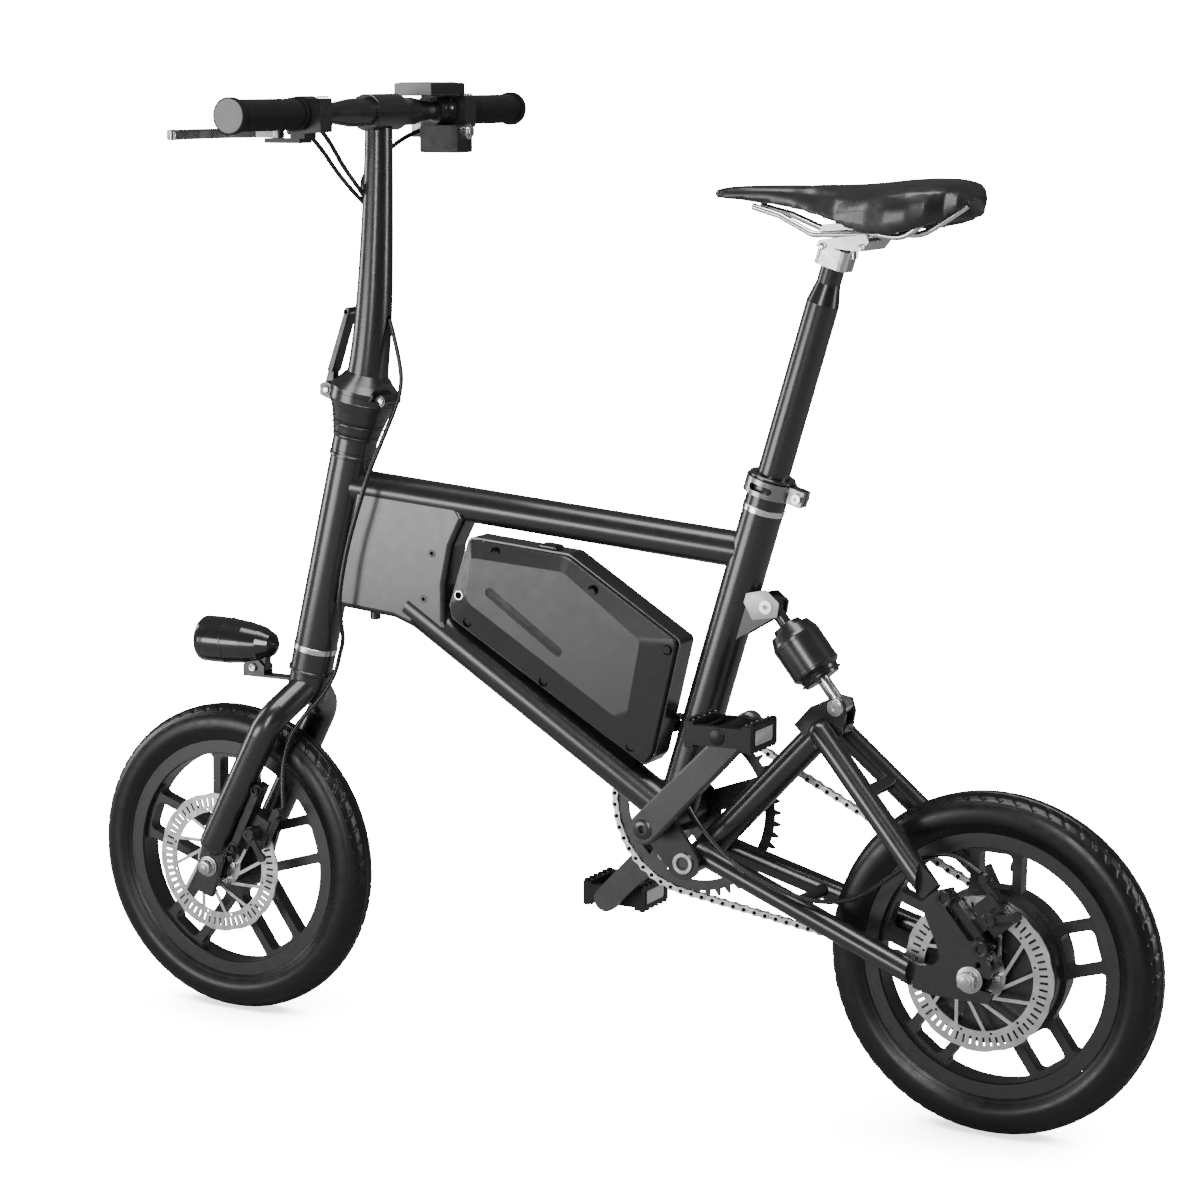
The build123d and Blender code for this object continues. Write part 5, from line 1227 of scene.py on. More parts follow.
@dataclass
class FrameTrim:
    """Bright rings, headset cups, clamp lip, rims of the carrier holes and the damper's lug."""

    head_radius: float = 24.0
    seat_radius: float = 21.5

    def build(self) -> None:
        """Makes the frame's details."""
        placed(ring(
            "head_tube_ring", on_head(31.5), on_head(38), self.head_radius - 0.3, self.head_radius + 0.6
        ), BRIGHT_ALLOY, "frame")
        placed(ring(
            "seat_tube_ring", on_seat(345), on_seat(351.5), self.seat_radius - 0.3, self.seat_radius + 0.6
        ), BRIGHT_ALLOY, "frame")
        placed(ring("seat_clamp_lip", on_seat(381.2), on_seat(384.6), 17.3, 24.5, 0.8), BLACK_PAINT, "frame")
        for height in (1.2, 253.0):
            placed(ring(
                "headset_cup", on_head(height + 4.6), on_head(height + 9.2), self.head_radius - 0.5,
                self.head_radius + 1.4, 0.8
            ), BLACK_PAINT, "frame")
        for x, z in CARRIER_HOLES:
            placed(ring("carrier_hole_rim", (x, -18.3, z), (x, -19.0, z), 2.0, 4.4, 0.3), DARK_STEEL, "frame")
        tabs = prism(
            "damper_lug_left", [(181, 534), (211, 541), (226, 528), (224, 513), (196, 508)], -16.2, -15.1, 0.5
        )
        placed(tabs, LIGHT_ALLOY, "frame")


@dataclass
class AxleEnd:
    """Washer, nut and domed end outside a dropout."""

    name: str
    body: str
    axle: Flat
    side: float
    thread: float
    across: float = 9.4
    height: float = 7.0

    def build(self) -> None:
        """Makes the nut and its washer on both sides."""
        x, z = self.axle
        parts: list[Piece] = []
        for sign in (-1, 1):
            seat = sign * self.side
            parts.append(puck("washer", (x, seat, z), (x, seat + sign * 2.0, z), self.across + 3.2, 0.5))
            parts.append(
                puck("flange", (x, seat + sign * 2.0, z), (x, seat + sign * 4.0, z), self.across + 1.4, 0.9)
            )
            parts.append(hexagon(
                "nut", (x, seat + sign * 4.0, z), (x, seat + sign * (4.0 + self.height), z), self.across
            ))
            end = seat + sign * (4.0 + self.height)
            parts.append(puck("end", (x, end - sign, z), (x, end + sign * 1.8, z), self.thread, 1.6))
        placed(merged(self.name, parts), NUT_STEEL, self.body)


@dataclass
class DiscBolts:
    """Six bolts that hold a brake disc."""

    name: str
    body: str
    axle: Flat
    side: float

    def build(self) -> None:
        """Makes the bolts with a node group."""
        x, z = self.axle
        item = turned(
            "disc_bolt", (0, 0, 0), (0, -1, 0),
            [(0, 0.6), (1.9, 0.6), (2.1, 2.4), (2.6, 3.0), (3.7, 2.8), (4.3, 1.8), (4.3, 0), (0, 0)], 20
        )
        places = []
        for k in range(6):
            turn = math.radians(60 * k)
            place = (x + 22 * math.cos(turn), -self.side - 3.4, z + 22 * math.sin(turn))
            places.append(spot(place))
        bolts = Repeat(self.name, BRIGHT_STEEL, places).build(item)
        placed(bolts, BRIGHT_STEEL, self.body)


@dataclass
class CaliperTrim:
    """Bolt bosses and bolts, arm cap and adjuster ribs of one brake."""

    name: str
    body: str
    arm_body: str
    middle: Flat
    side: float
    lean: float
    bolt_spacing: float
    bolt_drop: float
    bolt_shift: float
    outer: float

    def place(self, along: float, across: float, out: float) -> Vector:
        """Point in the caliper's own directions: along its bracket, across it and outwards."""
        turn = math.radians(self.lean)
        # The plane's y is square to its x and to the outward direction.
        x = self.middle[0] + along * math.cos(turn) - across * math.sin(turn)
        z = self.middle[1] + along * math.sin(turn) + across * math.cos(turn)
        return Vector((x, -self.side - out, z))

    def build(self) -> None:
        """Makes the caliper's details."""
        dark: list[Piece] = []
        for way in (-1, 1):
            along = self.bolt_shift + way * self.bolt_spacing / 2
            top = self.outer
            dark.append(puck(
                "boss", self.place(along, -self.bolt_drop, top - 1),
                self.place(along, -self.bolt_drop, top + 1.2), 7.0, 0.8
            ))
            dark += socket_bolt("bolt", self.place(along, -self.bolt_drop, top + 1.0), (0, -1, 0), 5.0, 4.0)
        placed(merged(f"{self.name}_bolts", dark), SCREW_BLACK, self.body)
        cap = turned(
            f"{self.name}_cap", self.place(0, 0, 26.4), (0, -1, 0),
            [(0, 0), (7.4, 0), (7.4, 1.2), (6.4, 2.0), (3.0, 2.0), (2.6, 1.0), (0, 1.0)], 28
        )
        placed(cap, CALIPER_BLACK, self.arm_body)
        ribs = []
        for k in range(4):
            ribs.append(
                ring("rib", self.place(-36, 15, 5.5 + 2 * k), self.place(-36, 15, 6.7 + 2 * k), 3.0, 4.9, 0.3)
            )
        placed(merged(f"{self.name}_adjuster_ribs", ribs), DARK_STEEL, self.body)


@dataclass
class CableRun:
    """A cable housing that follows a route; a span between two bodies rides on neither."""

    name: str
    route: Sequence[Point]
    radius: float = 2.5

    def build(self, spans: Sequence[tuple[int, int, str, str | None]], replaces: Sequence[str]) -> None:
        """Makes the housing's spans.

        Args:
            spans: (first guide, last guide, body, second body or None) of each span.
            replaces: CAD nodes that the whole run stands for.
        """
        fineness = 9
        line = smooth_line(self.route, fineness)
        per = (len(line) - 1) / (len(self.route) - 1)
        for number, (first, last, body, other) in enumerate(spans):
            part = line[round(first * per) : round(last * per) + 1]
            tube = hose(f"{self.name}_{number}", part, self.radius)
            if other is None:
                placed(tube, CABLE_PLASTIC, body)
            else:
                tube.data.materials.append(CABLE_PLASTIC.material())
                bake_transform(tube)
                log.info("%s: between %s and %s", tube.name, body, other)
            if number == 0 and replaces:
                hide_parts(*replaces)


@dataclass
class DriveChain:
    """Roller chain copied link by link round the two toothed wheels."""

    pitch: float = 12.7
    ring_teeth: int = 48
    sprocket_teeth: int = 19
    side: float = 48.5
    bracket: Flat = BRACKET
    axle: Flat = REAR_AXLE

    def pins(self) -> list[Flat]:
        """Pin places round the chainring, along the lower run, round the sprocket and back."""
        big = self.pitch / (2 * math.sin(math.pi / self.ring_teeth))
        small = self.pitch / (2 * math.sin(math.pi / self.sprocket_teeth))
        dx, dz = self.axle[0] - self.bracket[0], self.axle[1] - self.bracket[1]
        far = math.hypot(dx, dz)
        lean = math.degrees(math.atan2(dz, dx))
        wrap = math.degrees(math.asin((big - small) / far))
        upper, lower = lean + 90 - wrap, lean - 90 + wrap
        out = self._arc(self.bracket, big, self.ring_teeth, upper, 360 - (upper - lower))
        arc = self._arc(self.axle, small, self.sprocket_teeth, lower, upper - lower)
        out += self._run(out[-1], arc[0]) + arc
        out += self._run(out[-1], out[0])
        return out

    @staticmethod
    def _arc(centre: Flat, radius: float, teeth: int, start: float, turn: float) -> list[Flat]:
        """Pins that lie between a wheel's teeth, centred in its wrapped arc."""
        step = 360 / teeth
        count = int(turn / step)
        first = start + (turn - count * step) / 2
        return [
            (centre[0] + radius * math.cos(math.radians(first + k * step)),
             centre[1] + radius * math.sin(math.radians(first + k * step)))
            for k in range(count + 1)
        ]

    def _run(self, start: Flat, end: Flat) -> list[Flat]:
        """Pins along a straight run, without its ends."""
        count = round(math.dist(start, end) / self.pitch)
        return [tuple(a + (b - a) * k / count for a, b in zip(start, end)) for k in range(1, count)]

    def _link(self, name: str, gap: float, inner: bool) -> Piece:
        """Makes one link round the origin, along X."""
        half = self.pitch / 2
        outline = []
        for centre, start in ((half, -115), (-half, 65)):
            for k in range(7):
                turn = math.radians(start + k * 230 / 6)
                outline.append((centre + 4.1 * math.cos(turn), 4.1 * math.sin(turn)))
            outline.append((0.0, 2.7 if centre > 0 else -2.7))
        parts = []
        for sign in (-1, 1):
            sides = sorted((sign * gap, sign * (gap + 1.0)))
            parts.append(prism("plate", outline, sides[0], sides[1], 0.0))
        for x in (-half, half):
            if inner:
                parts.append(turned(
                    "roller", (x, -1.65, 0), (0, 1, 0), [(2.0, 0), (3.85, 0), (3.85, 3.3), (2.0, 3.3)], 12
                ))
            else:
                reach = gap + 1.4
                parts.append(turned(
                    "pin", (x, -reach, 0), (0, 1, 0),
                    [(0, 0), (1.4, 0), (1.8, 0.4), (1.8, 2 * reach - 0.4), (1.4, 2 * reach), (0, 2 * reach)],
                    10
                ))
        return merged(name, parts)

    def build(self) -> None:
        """Makes the chain in place of the plain one."""
        pins = self.pins()
        places = []
        for number, start in enumerate(pins):
            end = pins[(number + 1) % len(pins)]
            lean = math.atan2(end[1] - start[1], end[0] - start[0])
            middle = ((start[0] + end[0]) / 2, self.side, (start[1] + end[1]) / 2)
            stretch = math.dist(start, end) / self.pitch
            places.append((middle, (0.0, -lean, 0.0), (stretch, 1.0, 1.0), number % 2 == 1))
        inner = self._link("inner_link", 1.7, True)
        outer = self._link("outer_link", 2.8, False)
        chain = Repeat("drive_chain", CHAIN_STEEL, places, play=0.004, seed=11).build(inner, outer)
        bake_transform(chain)
        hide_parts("chain")
        ends = [spot((x, self.side + way * 4.25, z)) for x, z in pins for way in (-1, 1)]
        rivet = turned("rivet", (0, -0.2, 0), (0, 1, 0), [(0, 0), (2.1, 0), (2.1, 0.4), (0, 0.4)], 10)
        rivets = Repeat("chain_rivets", PAD_RUBBER, ends).build(rivet)
        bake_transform(rivets)
        log.info("drive chain: %d links", len(pins))


@dataclass
class PedalTrim:
    """Reflectors and grip pins of one pedal."""

    name: str
    body: str
    centre: Flat
    sign: int
    inner_side: float = 79.5
    width: float = 62.0
    length: float = 74.0
    height: float = 26.0

    def build(self) -> None:
        """Makes the reflectors and pins."""
        x, z = self.centre
        low, high = sorted((self.sign * self.inner_side, self.sign * (self.inner_side + self.width)))
        middle = (low + high) / 2
        lenses, frames = [], []
        for way in (-1, 1):
            face = x + way * self.length / 2
            lenses.append(self._lens(face, way, middle, z))
            outline = [
                (face - way * 1.0, z - 8.2), (face - way * 1.0, z + 8.2), (face + way * 0.7, z + 8.2),
                (face + way * 0.7, z - 8.2)
            ]
            for side in (-1, 1):
                edge = sorted((middle + side * 21.0, middle + side * 22.6))
                frames.append(prism("cheek", outline, edge[0], edge[1], 0.3))
        placed(merged(f"{self.name}_reflectors", lenses), REFLECTOR, self.body)
        placed(merged(f"{self.name}_reflector_frames", frames), PEDAL_PLASTIC, self.body)
        pins = []
        for way in (-1, 1):
            for k in range(5):
                side = low + (k + 0.5) * self.width / 5
                for up in (-1, 1):
                    base = z + up * self.height / 2
                    across = x + way * (self.length / 2 - 7.5)
                    pins.append(spot((across, side, base), (0.0 if up > 0 else math.pi, 0.0, 0.0)))
        pin = turned(
            "grip_pin", (0, 0, 0), (0, 0, 1), [(0, -0.5), (1.6, -0.5), (1.6, 1.2), (0.9, 1.9), (0, 1.9)], 10
        )
        placed(Repeat(f"{self.name}_pins", DARK_STEEL, pins).build(pin), DARK_STEEL, self.body)
        outer = self.sign * (self.inner_side + self.width)
        cap = puck(
            f"{self.name}_cap", (x, outer - self.sign * 0.5, z), (x, outer + self.sign * 1.2, z), 8.2, 0.9
        )
        placed(cap, PEDAL_PLASTIC, self.body)

    @staticmethod
    def _lens(face: float, way: int, middle: float, z: float) -> Piece:
        """Makes one ribbed reflector face."""
        columns, rows = 20, 7
        points, faces = [], []
        for i in range(columns + 1):
            for j in range(rows + 1):
                deep = 0.0 if i in (0, columns) or j in (0, rows) else (0.35 + 0.5 * ((i + j) % 2))
                points.append(
                    (face + way * deep, middle - 20.5 + 41.0 * i / columns, z - 7.4 + 14.8 * j / rows)
                )
        for i in range(columns):
            for j in range(rows):
                a = i * (rows + 1) + j
                faces.append((a, a + 1, a + rows + 2, a + rows + 1))
        base = len(points)
        points += [(face - way * 0.8, middle - 20.5, z - 7.4), (face - way * 0.8, middle - 20.5, z + 7.4),
                   (face - way * 0.8, middle + 20.5, z + 7.4), (face - way * 0.8, middle + 20.5, z - 7.4)]
        far = columns * (rows + 1)
        faces.append((base, base + 1, base + 2, base + 3))
        faces.append(tuple(range(0, rows + 1)) + (base + 1, base))
        faces.append(tuple(range(far + rows, far - 1, -1)) + (base + 3, base + 2))
        faces.append(tuple(i * (rows + 1) for i in range(columns, -1, -1)) + (base, base + 3))
        faces.append(tuple(i * (rows + 1) + rows for i in range(columns + 1)) + (base + 2, base + 1))
        piece = mesh_object("lens", points, faces)
        shade(piece, 8)
        return piece


@dataclass
class BarTrim:
    """Grip ends and ribs, display, throttle ring, clamp bolts and lever tips on the bar."""

    bar_x: float = -258.2
    bar_z: float = 1020.5
    half_width: float = 282.0

    def build(self) -> None:
        """Makes the bar's details."""
        self._grips()
        self._display()
        self._throttle()
        self._clamps()

    def _grips(self) -> None:
        """Makes the grips' end caps and fine ribs."""
        x, z = self.bar_x, self.bar_z
        caps = [
            puck(
                "cap", (x, s * (self.half_width - 0.6), z), (x, s * (self.half_width + 0.5), z), 17.2, 0.6, 48
            ) for s in (-1, 1)
        ]
        placed(merged("grip_end_caps", caps), GREY_PLASTIC, "stem")
        rib = turned(
            "rib", (0, 0, 0), (0, 1, 0), [(15.6, -1.2), (16.25, -0.7), (16.25, 0.7), (15.6, 1.2)], 40
        )
        places = []
        for sign in (-1, 1):
            for k in range(30):
                places.append(spot((x, sign * (171 + 3.4 * k), z)))
        placed(Repeat("grip_ribs", GRIP_RUBBER, places).build(rib), GRIP_RUBBER, "stem")

    def _display(self) -> None:
        """Makes the display's dark glass, its grey end and its keys."""
        glass = self._slab("display_glass", (-276.5, 68), (-246.5, 126), 1050.9, 1051.7, 2.0)
        placed(glass, GLASS_BLACK, "stem")
        end = self._slab("display_grey_end", (-278.3, 59.4), (-232.7, 63.4), 1037.6, 1050.6, 0.8)
        placed(end, GREY_PLASTIC, "stem")
        keys = [self._slab(
            "key", (-243.0, 72 + 18 * k), (-236.0, 84 + 18 * k), 1050.6, 1051.9, 0.6
        ) for k in range(3)]
        placed(merged("display_keys", keys), GREY_PLASTIC, "stem")

    @staticmethod
    def _slab(name: str, low: Flat, high: Flat, floor: float, roof: float, edge: float) -> Piece:
        """Makes a softened block from two (X, Y) corners and two heights."""
        (x0, y0), (x1, y1) = low, high
        points = [(x, y, z) for z in (floor, roof) for x, y in ((x0, y0), (x1, y0), (x1, y1), (x0, y1))]
        faces = [(0, 3, 2, 1), (4, 5, 6, 7), (0, 1, 5, 4), (1, 2, 6, 5), (2, 3, 7, 6), (3, 0, 4, 7)]
        return soften(mesh_object(name, points, faces), min(edge, (roof - floor) * 0.45), 3)

    def _throttle(self) -> None:
        """Makes the button's bright ring and dished face."""
        x, y, z = -219.0, 118.0, 998.0
        placed(ring("throttle_ring", (x - 1.5, y, z), (x + 1.8, y, z), 6.1, 8.6, 0.6), BRIGHT_ALLOY, "stem")
        dish = turned(
            "throttle_face", (x + 4.2, y, z), (1, 0, 0),
            [(0, -0.2), (3.6, 0.1), (5.0, 0.7), (5.9, 0.4), (5.9, -1.0), (0, -1.0)], 32
        )
        placed(dish, BRIGHT_ALLOY, "button")

    def _clamps(self) -> None:
        """Makes the clamp lines and bolts of the stem, the levers and the display."""
        x, z = self.bar_x, self.bar_z
        edges = [ring("edge", (x, s * 28.4, z), (x, s * 29.6, z), 15.2, 19.6, 0.5) for s in (-1, 1)]
        placed(merged("stem_clamp_edges", edges), BLACK_PAINT, "stem")
        bolts = []
        for sign in (-1, 1):
            y = sign * 145.0
            bolts += socket_bolt("bolt", (-236.0, y - 5.5, 1037.0), (0, 0, 1), 3.0, 2.2)
            bolts += socket_bolt("bolt", (-236.0, y + 5.5, 1037.0), (0, 0, 1), 3.0, 2.2)
            bolts.append(
                puck("pivot", (-292.0, y + sign * 1.0, 1011.3), (-292.0, y + sign * 1.0, 1013.0), 4.4, 0.6)
            )
        bolts += socket_bolt("bolt", (-239.6, 115.0, 1024.0), (1, 0, 0), 2.6, 2.0)
        placed(merged("bar_bolts", bolts), BRIGHT_STEEL, "stem")
        for sign, name in SIDES:
            tip = puck(
                f"lever_tip_{name}", (-329.3, sign * 279.5, 995.6), (-329.3, sign * 279.5, 1006.4), 5.3, 2.2
            )
            placed(tip, BRIGHT_ALLOY, f"lever_{name}")
            stop = puck(
                f"lever_cable_stop_{name}", (-285.0, sign * 137.0, 1003.0), (-281.5, sign * 128.0, 1003.0),
                4.2, 0.8
            )
            placed(stop, DARK_STEEL, "stem")


@dataclass
class WheelTrim:
    """Valve and rim lips of one wheel."""

    name: str
    body: str
    axle: Flat
    valve_turn: float

    def build(self) -> None:
        """Makes the wheel's details."""
        x, z = self.axle
        way = Vector((math.cos(math.radians(self.valve_turn)), 0, math.sin(math.radians(self.valve_turn))))
        base = Vector((x, 0, z))
        valve = [
            puck("stem", tuple(base + way * 123.5), tuple(base + way * 108.0), 2.9, 0.5, 20),
            puck("nut", tuple(base + way * 121.5), tuple(base + way * 119.0), 4.8, 0.5, 20),
            puck("cap", tuple(base + way * 108.5), tuple(base + way * 99.0), 3.7, 1.0, 20),
        ]
        placed(merged(f"{self.name}_valve", valve), CABLE_PLASTIC, self.body)
        lips = [ring("lip", (x, s * 14.2, z), (x, s * 15.2, z), 134.4, 137.4, 0.4) for s in (-1, 1)]
        placed(merged(f"{self.name}_rim_lips", lips), BLACK_CAST, self.body)


@dataclass
class LampTrim:
    """Bezel, glass ribs, band and clamp bolt of the headlight."""

    front: float = -500.0
    height: float = 427.0

    def build(self) -> None:
        """Makes the lamp's details."""
        bezel = turned(
            "lamp_bezel", (self.front, 0, self.height), (1, 0, 0),
            [(21.6, 0.6), (22.0, -1.2), (24.6, -1.2), (25.9, 0.8), (26.0, 6.0), (25.2, 6.0), (24.0, 2.0)], 72
        )
        placed(bezel, GLOSS_PLASTIC, "headlight")
        ribs = []
        for k in range(-6, 7):
            z = self.height + k * 3.1
            reach = math.sqrt(max(0.0, 20.8**2 - (k * 3.1) ** 2))
            depth = self.front - 2.6 + 2.2 * (k / 6.5) ** 2
            ribs.append(hose(
                "rib",
                [Vector((depth + 2.0 * (t * reach / 21) ** 2, t * reach, z)) for t in (-1, -0.5, 0, 0.5, 1)],
                0.55, 6
            ))
        placed(merged("lamp_ribs", ribs), LENS_PLASTIC, "headlight")
        band = ring(
            "lamp_band", (self.front + 33, 0, self.height), (self.front + 35.5, 0, self.height), 25.2, 26.2,
            0.4
        )
        placed(band, BLACK_PAINT, "headlight")
        bolt = socket_bolt("lamp_bolt", (-430, -9.2, 401), (0, -1, 0), 4.5, 3.0)
        placed(merged("lamp_bolt_head", bolt), BRIGHT_STEEL, "steering")


@dataclass
class PostTrim:
    """Turned lines, hinge and latch caps and the latch's end on the folding post."""

    def build(self) -> None:
        """Makes the post's details."""
        for number, height in enumerate((283.0, 296.0, 322.5)):
            radius = {0: 29.3, 1: 32.3, 2: 37.5}[number]
            line = ring(
                f"base_line_{number}", on_head(height), on_head(height + 1.1), radius - 0.6, radius + 0.35,
                0.3
            )
            placed(line, BLACK_PAINT, "steering")
        for sign, side in SIDES:
            pin = on_head(331, 31)
            cap = puck(
                f"hinge_cap_{side}", (pin.x, sign * 17.0, pin.z), (pin.x, sign * 18.6, pin.z), 5.0, 0.8
            )
            placed(cap, BRIGHT_STEEL, "steering")
            latch = Vector((-326.5, 0, 720))
            bolt = puck(
                f"latch_cap_{side}", (latch.x, sign * 10.5, latch.z), (latch.x, sign * 12.3, latch.z), 4.6,
                0.8
            )
            placed(bolt, BRIGHT_STEEL, "steering")
        pull = puck("latch_end", (-300.2, -9.0, 805.5), (-300.2, 9.0, 805.5), 3.6, 1.0)
        placed(pull, BRIGHT_ALLOY, "latch")


@dataclass
class SeatTrim:
    """Rear rails and clamp bolts under the saddle."""

    def build(self) -> None:
        """Makes the saddle's metal details."""
        rails = []
        for sign in (-1, 1):
            route = [
                (332, sign * 22, 906.4), (346, sign * 22.4, 904.0), (360, sign * 24, 904.5),
                (372, sign * 26, 911.0), (386, sign * 30, 921.0), (398, sign * 33, 929.0),
                (404, sign * 34, 934.0)
            ]
            rails.append(hose("rail", smooth_line(route, 8), 3.45, 16))
        placed(merged("rear_rails", rails), BRIGHT_ALLOY, "seat")
        for number, (x, z) in enumerate(((276.5, 893.5), (318.5, 893.0))):
            head = puck(f"seat_bolt_{number}", (x, -29.0, z), (x, -31.5, z), 3.6, 0.8)
            placed(head, BRIGHT_STEEL, "seat")


@dataclass
class CrankTrim:
    """Dust rings and chainring bolts."""

    bracket: Flat = BRACKET

    def build(self) -> None:
        """Makes the crank's details."""
        x, z = self.bracket
        parts = []
        for sign in (-1, 1):
            face = sign * 75.5
            parts.append(turned(
                "dust_ring", (x, face, z), (0, sign, 0),
                [(4.9, 0), (5.2, 1.9), (8.8, 1.6), (10.6, 0.6), (10.8, 0), (10.8, -0.4), (4.9, -0.4)], 48
            ))
        placed(merged("crank_dust_rings", parts), BLACK_PAINT, "crank")
        bolt = turned(
            "ring_bolt", (0, 0, 0), (0, -1, 0),
            [(0, 0.5), (2.2, 0.5), (2.6, 1.8), (4.6, 1.5), (5.0, 0.6), (5.0, 0), (0, 0)], 20
        )
        places = []
        for k in range(5):
            turn = math.radians(20 + 72 * k)
            for side, spin in ((47.2, 0.0), (49.8, math.pi)):
                places.append(
                    spot((x + 72 * math.cos(turn), side, z + 72 * math.sin(turn)), (0.0, 0.0, spin))
                )
        placed(Repeat("chainring_bolts", BRIGHT_STEEL, places).build(bolt), BRIGHT_STEEL, "crank")


@dataclass
class PivotTrim:
    """Cap on the rear arm's pivot, washers at the damper's eyes and lines on its body."""

    def build(self) -> None:
        """Makes the pivots' details."""
        cap = turned(
            "pivot_cap_left", (SWINGARM_PIVOT[0], -45.0, SWINGARM_PIVOT[1]), (0, -1, 0),
            [(0, 1.4), (5.0, 1.4), (5.6, 2.6), (7.4, 2.6), (7.4, 0), (0, 0)], 40
        )
        placed(cap, DARK_STEEL, "frame")
        lean = math.radians(DAMPER_LEAN)
        way = Vector((math.cos(lean), 0, math.sin(lean)))
        lower = (
            DAMPER_TOP[0] + DAMPER_LENGTH * math.cos(lean), DAMPER_TOP[1] + DAMPER_LENGTH * math.sin(lean)
        )
        for name, (x, z), body in (("upper", DAMPER_TOP, "frame"), ("lower", lower, "swingarm")):
            washer = ring(f"damper_washer_{name}", (x, -14.0, z), (x, -15.2, z), 4.2, 9.0, 0.4)
            placed(washer, BRIGHT_STEEL, body)
        top = Vector((DAMPER_TOP[0], 0, DAMPER_TOP[1]))
        for number, (low, high, radius) in enumerate(
            ((44.5, 46.2, 26.5), (78.0, 79.5, 26.5), (88.8, 90.4, 23.0))
        ):
            line = ring(
                f"damper_line_{number}", tuple(top + way * low), tuple(top + way * high), radius - 0.8,
                radius + 0.45, 0.4
            )
            placed(line, BLACK_PAINT, "shock_cylinder")


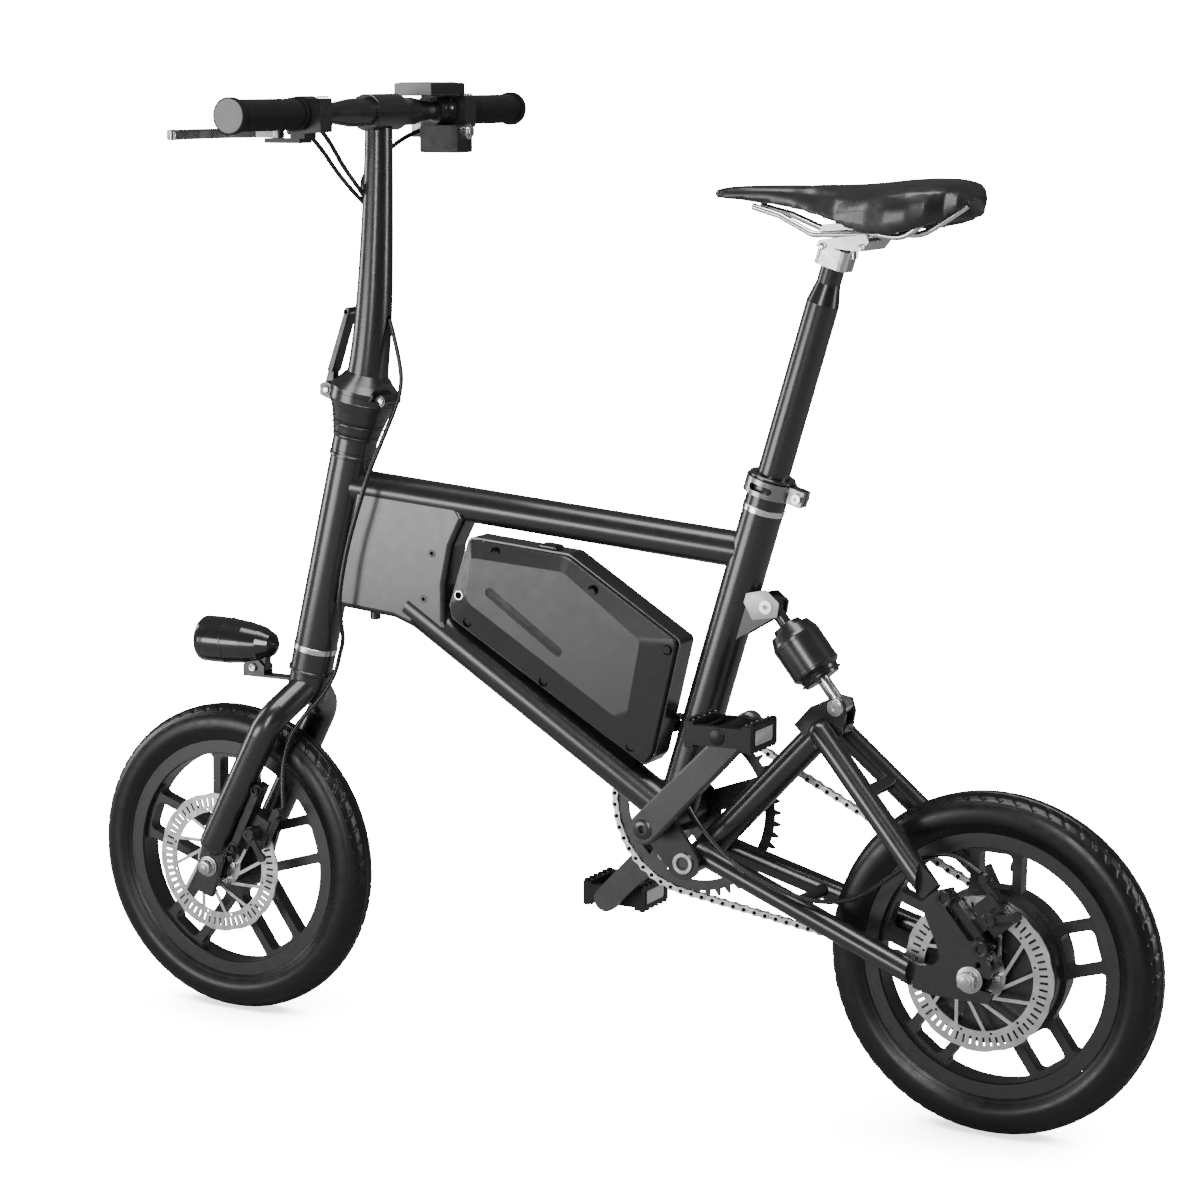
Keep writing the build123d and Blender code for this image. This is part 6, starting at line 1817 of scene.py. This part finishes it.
@dataclass
class Studio:
    """Floor with a painted shadow, lights and camera."""

    focal_length: float = 95.34
    film_width: float = 36.0
    azimuth: float = 28.454
    elevation: float = 9.639
    camera_place: tuple[float, float, float] = (1.58991, -2.91637, 1.07516)
    floor_half: float = 30.0
    seen_glow: float = 26.0
    unseen_air: float = 0.15
    # How far the painted shadow round the bike reaches across the floor, in metres.
    painted_shadow_reach: float = 0.55

    def build(self) -> None:
        """Makes the floor, the lights and the camera."""
        self._floor()
        self._light("low_panel", (-1.55, -2.3, 0.42), (-0.15, 0.0, 0.45), (1.5, 0.7), 34.0)
        self._light("camera_strip", (0.75, -3.4, 1.5), (0.0, 0.0, 0.55), (0.5, 2.0), 60.0)
        self._light("roof_panel", (0.1, -0.6, 3.2), (0.0, 0.0, 0.6), (2.6, 1.2), 95.0)
        self._light("rear_strip", (2.9, 0.9, 1.3), (0.2, 0.0, 0.5), (0.6, 2.0), 42.0)
        self._light("front_strip", (-2.9, -0.3, 1.2), (-0.3, 0.0, 0.5), (0.6, 2.0), 36.0)
        self._world()
        self._camera()
        log.info("studio ready")

    @staticmethod
    def _split(tree: Tree, seen: bpy.types.ShaderNode, unseen: bpy.types.ShaderNode, kind: str) -> None:
        """Shows one shader to the camera and another to every other ray.

        Args:
            tree: the nodes that hold both.
            seen: what the camera sees.
            unseen: what lights and mirrors see.
            kind: the type of the output node.
        """
        path = tree.nodes.new("ShaderNodeLightPath")
        mixed = tree.nodes.new("ShaderNodeMixShader")
        output = tree.nodes.new(kind)
        tree.links.new(path.outputs["Is Camera Ray"], mixed.inputs["Fac"])
        tree.links.new(unseen.outputs[0], mixed.inputs[1])
        tree.links.new(seen.outputs[0], mixed.inputs[2])
        tree.links.new(mixed.outputs[0], output.inputs["Surface"])

    def _world(self) -> None:
        """Makes air that is white to the camera and dim to everything else."""
        world = bpy.data.worlds.new("studio_air")
        world.use_nodes = True
        tree = world.node_tree
        tree.nodes.clear()
        seen = tree.nodes.new("ShaderNodeBackground")
        seen.inputs["Strength"].default_value = self.seen_glow
        unseen = tree.nodes.new("ShaderNodeBackground")
        unseen.inputs["Strength"].default_value = self.unseen_air
        self._split(tree, seen, unseen, "ShaderNodeOutputWorld")
        bpy.context.scene.world = world

    def _floor(self) -> None:
        """Lays the pale floor at the tyres' height, with a painted shadow near the bike."""
        half = self.floor_half
        floor = mesh_object(
            "studio_floor",
            [
                (-half / MM, -half / MM, 0), (half / MM, -half / MM, 0), (half / MM, half / MM, 0),
                (-half / MM, half / MM, 0)
            ],
            [(0, 1, 2, 3)],
        )
        material = bpy.data.materials.new("pale_floor_painted_shadow")
        material.use_nodes = True
        tree = material.node_tree
        tree.nodes.clear()
        # Ambient occlusion dims the glow that the camera sees near the bike: a painted shadow on the floor,
        # not one cast by the lamps.
        painted_shadow = tree.nodes.new("ShaderNodeAmbientOcclusion")
        painted_shadow.samples = 16
        painted_shadow.inputs["Distance"].default_value = self.painted_shadow_reach
        level = tree.nodes.new("ShaderNodeMapRange")
        level.inputs["From Min"].default_value = 0.35
        level.inputs["From Max"].default_value = 0.93
        level.inputs["To Min"].default_value = 2.0
        level.inputs["To Max"].default_value = self.seen_glow
        seen = tree.nodes.new("ShaderNodeEmission")
        unseen = tree.nodes.new("ShaderNodeBsdfDiffuse")
        unseen.inputs["Color"].default_value = (0.35, 0.35, 0.35, 1.0)
        tree.links.new(painted_shadow.outputs["AO"], level.inputs["Value"])
        tree.links.new(level.outputs["Result"], seen.inputs["Strength"])
        self._split(tree, seen, unseen, "ShaderNodeOutputMaterial")
        floor.data.materials.append(material)
        floor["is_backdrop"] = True

    def _light(self, name: str, place: Point, target: Point, size: Flat, power: float) -> None:
        """Hangs a soft rectangular light aimed at a point.

        Args:
            name: the light's name.
            place: where it hangs, in metres.
            target: the point that it faces, in metres.
            size: its width and height in metres.
            power: its power in watts.
        """
        data = bpy.data.lights.new(name, "AREA")
        data.shape = "RECTANGLE"
        data.energy = power
        data.size, data.size_y = size
        lamp = bpy.data.objects.new(name, data)
        lamp.location = place
        aim = Vector(target) - Vector(place)
        lamp.rotation_euler = aim.to_track_quat("-Z", "Y").to_euler()
        lamp.visible_camera = False
        bpy.context.scene.collection.objects.link(lamp)

    def _camera(self) -> None:
        """Sets the camera at the stated angle."""
        data = bpy.data.cameras.new("studio_camera")
        data.lens = self.focal_length
        data.sensor_width = self.film_width
        data.clip_end = 100.0
        camera = bpy.data.objects.new("studio_camera", data)
        turn = math.radians(self.azimuth)
        rise = math.radians(self.elevation)
        right = Vector((math.cos(turn), math.sin(turn), 0.0))
        back = Vector((math.sin(turn) * math.cos(rise), -math.cos(turn) * math.cos(rise), math.sin(rise)))
        up = back.cross(right)
        turn_matrix = Matrix((right, up, back)).transposed()
        camera.matrix_world = Matrix.Translation(Vector(self.camera_place)) @ turn_matrix.to_4x4()
        bpy.context.scene.collection.objects.link(camera)
        bpy.context.scene.camera = camera


def as_numbers(bounds: object) -> object:
    """Turns bounds into plain lists of numbers.

    Args:
        bounds: vectors, or lists of them.

    Returns:
        The same as nested lists of floats.
    """
    if isinstance(bounds, (int, float)):
        return float(bounds)
    return [as_numbers(part) for part in bounds]


def build_rear_caps() -> None:
    """Makes the black heads of the two bolts that hold the rear brake's bracket."""
    caps: list[Piece] = []
    for x, z in ((436.0, 257.5), (475.8, 210.7)):
        caps += socket_bolt("cap", (x, -71.8, z), (0, -1, 0), 8.2, 4.0)
    placed(merged("rear_bracket_caps", caps), CALIPER_BLACK, "swingarm")


def build_details() -> None:
    """Builds every visual piece round the CAD frame."""
    build_rear_caps()
    Tyre("front_tyre", "front_wheel", -463.0).build()
    Tyre("rear_tyre", "rear_wheel", 463.0).build()
    SaddlePad().build()
    BatteryTrim().build()
    FrameTrim().build()
    PostTrim().build()
    SeatTrim().build()
    PivotTrim().build()
    CrankTrim().build()
    BarTrim().build()
    LampTrim().build()
    AxleEnd("front_axle_nuts", "steering", FRONT_AXLE, 57.0, 4.6, 8.6, 6.0).build()
    AxleEnd("rear_axle_nuts", "swingarm", REAR_AXLE, 68.0, 6.6, 10.6, 7.5).build()
    DiscBolts("front_disc_bolts", "front_wheel", FRONT_AXLE, 36.0).build()
    DiscBolts("rear_disc_bolts", "rear_wheel", REAR_AXLE, 45.0).build()
    WheelTrim("front", "front_wheel", FRONT_AXLE, 100.0).build()
    WheelTrim("rear", "rear_wheel", REAR_AXLE, 80.0).build()
    CaliperTrim(
        "rear_caliper", "swingarm", "rear_brake_arm", (483.0, 241.0), 45.0, -49.0, 61.0, 25.0, -12.0, 17.0
    ).build()
    CaliperTrim(
        "front_caliper", "steering", "front_brake_arm", (-404.0, 221.0), 36.0, -115.6, 78.0, 14.0, -11.0, 22.0
    ).build()
    crank_turn = math.radians(CRANK_LEAN)
    reach_x, reach_z = CRANK_LENGTH * math.cos(crank_turn), CRANK_LENGTH * math.sin(crank_turn)
    for name, body, sign in (("left_pedal", "pedal_left", -1), ("right_pedal", "pedal_right", 1)):
        centre = (BRACKET[0] - sign * reach_x, BRACKET[1] - sign * reach_z)
        PedalTrim(name, body, centre, sign).build()
    for number, route in enumerate(BAR_ROUTES):
        CableRun(f"bar_cable_{number}", route).build(
            [(0, len(route) - 1, "stem", None)], ["bar_cables"] if number == 0 else []
        )
    CableRun("front_brake_hose", FRONT_ROUTE).build(
        [
            (0, 5, "stem", "steering"), (5, 7, "steering", "frame"), (7, 12, "frame", None),
            (12, 14, "frame", "steering"), (14, 21, "steering", None)
        ],
        ["front_brake_cable"],
    )
    CableRun("rear_brake_hose", REAR_ROUTE).build(
        [(0, 4, "frame", "swingarm"), (4, 14, "swingarm", None)], ["rear_brake_cable"]
    )
    DriveChain().build()


def main() -> None:
    """Builds the whole scene."""
    logging.basicConfig(level=logging.INFO, format="%(name)s: %(message)s")
    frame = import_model()
    cad_box = as_numbers(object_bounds())
    dress_nodes(frame["nodes"])
    build_details()
    Studio().build()
    {"cad": cad_box, "visual": as_numbers(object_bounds())}


if __name__ == "__main__":
    main()
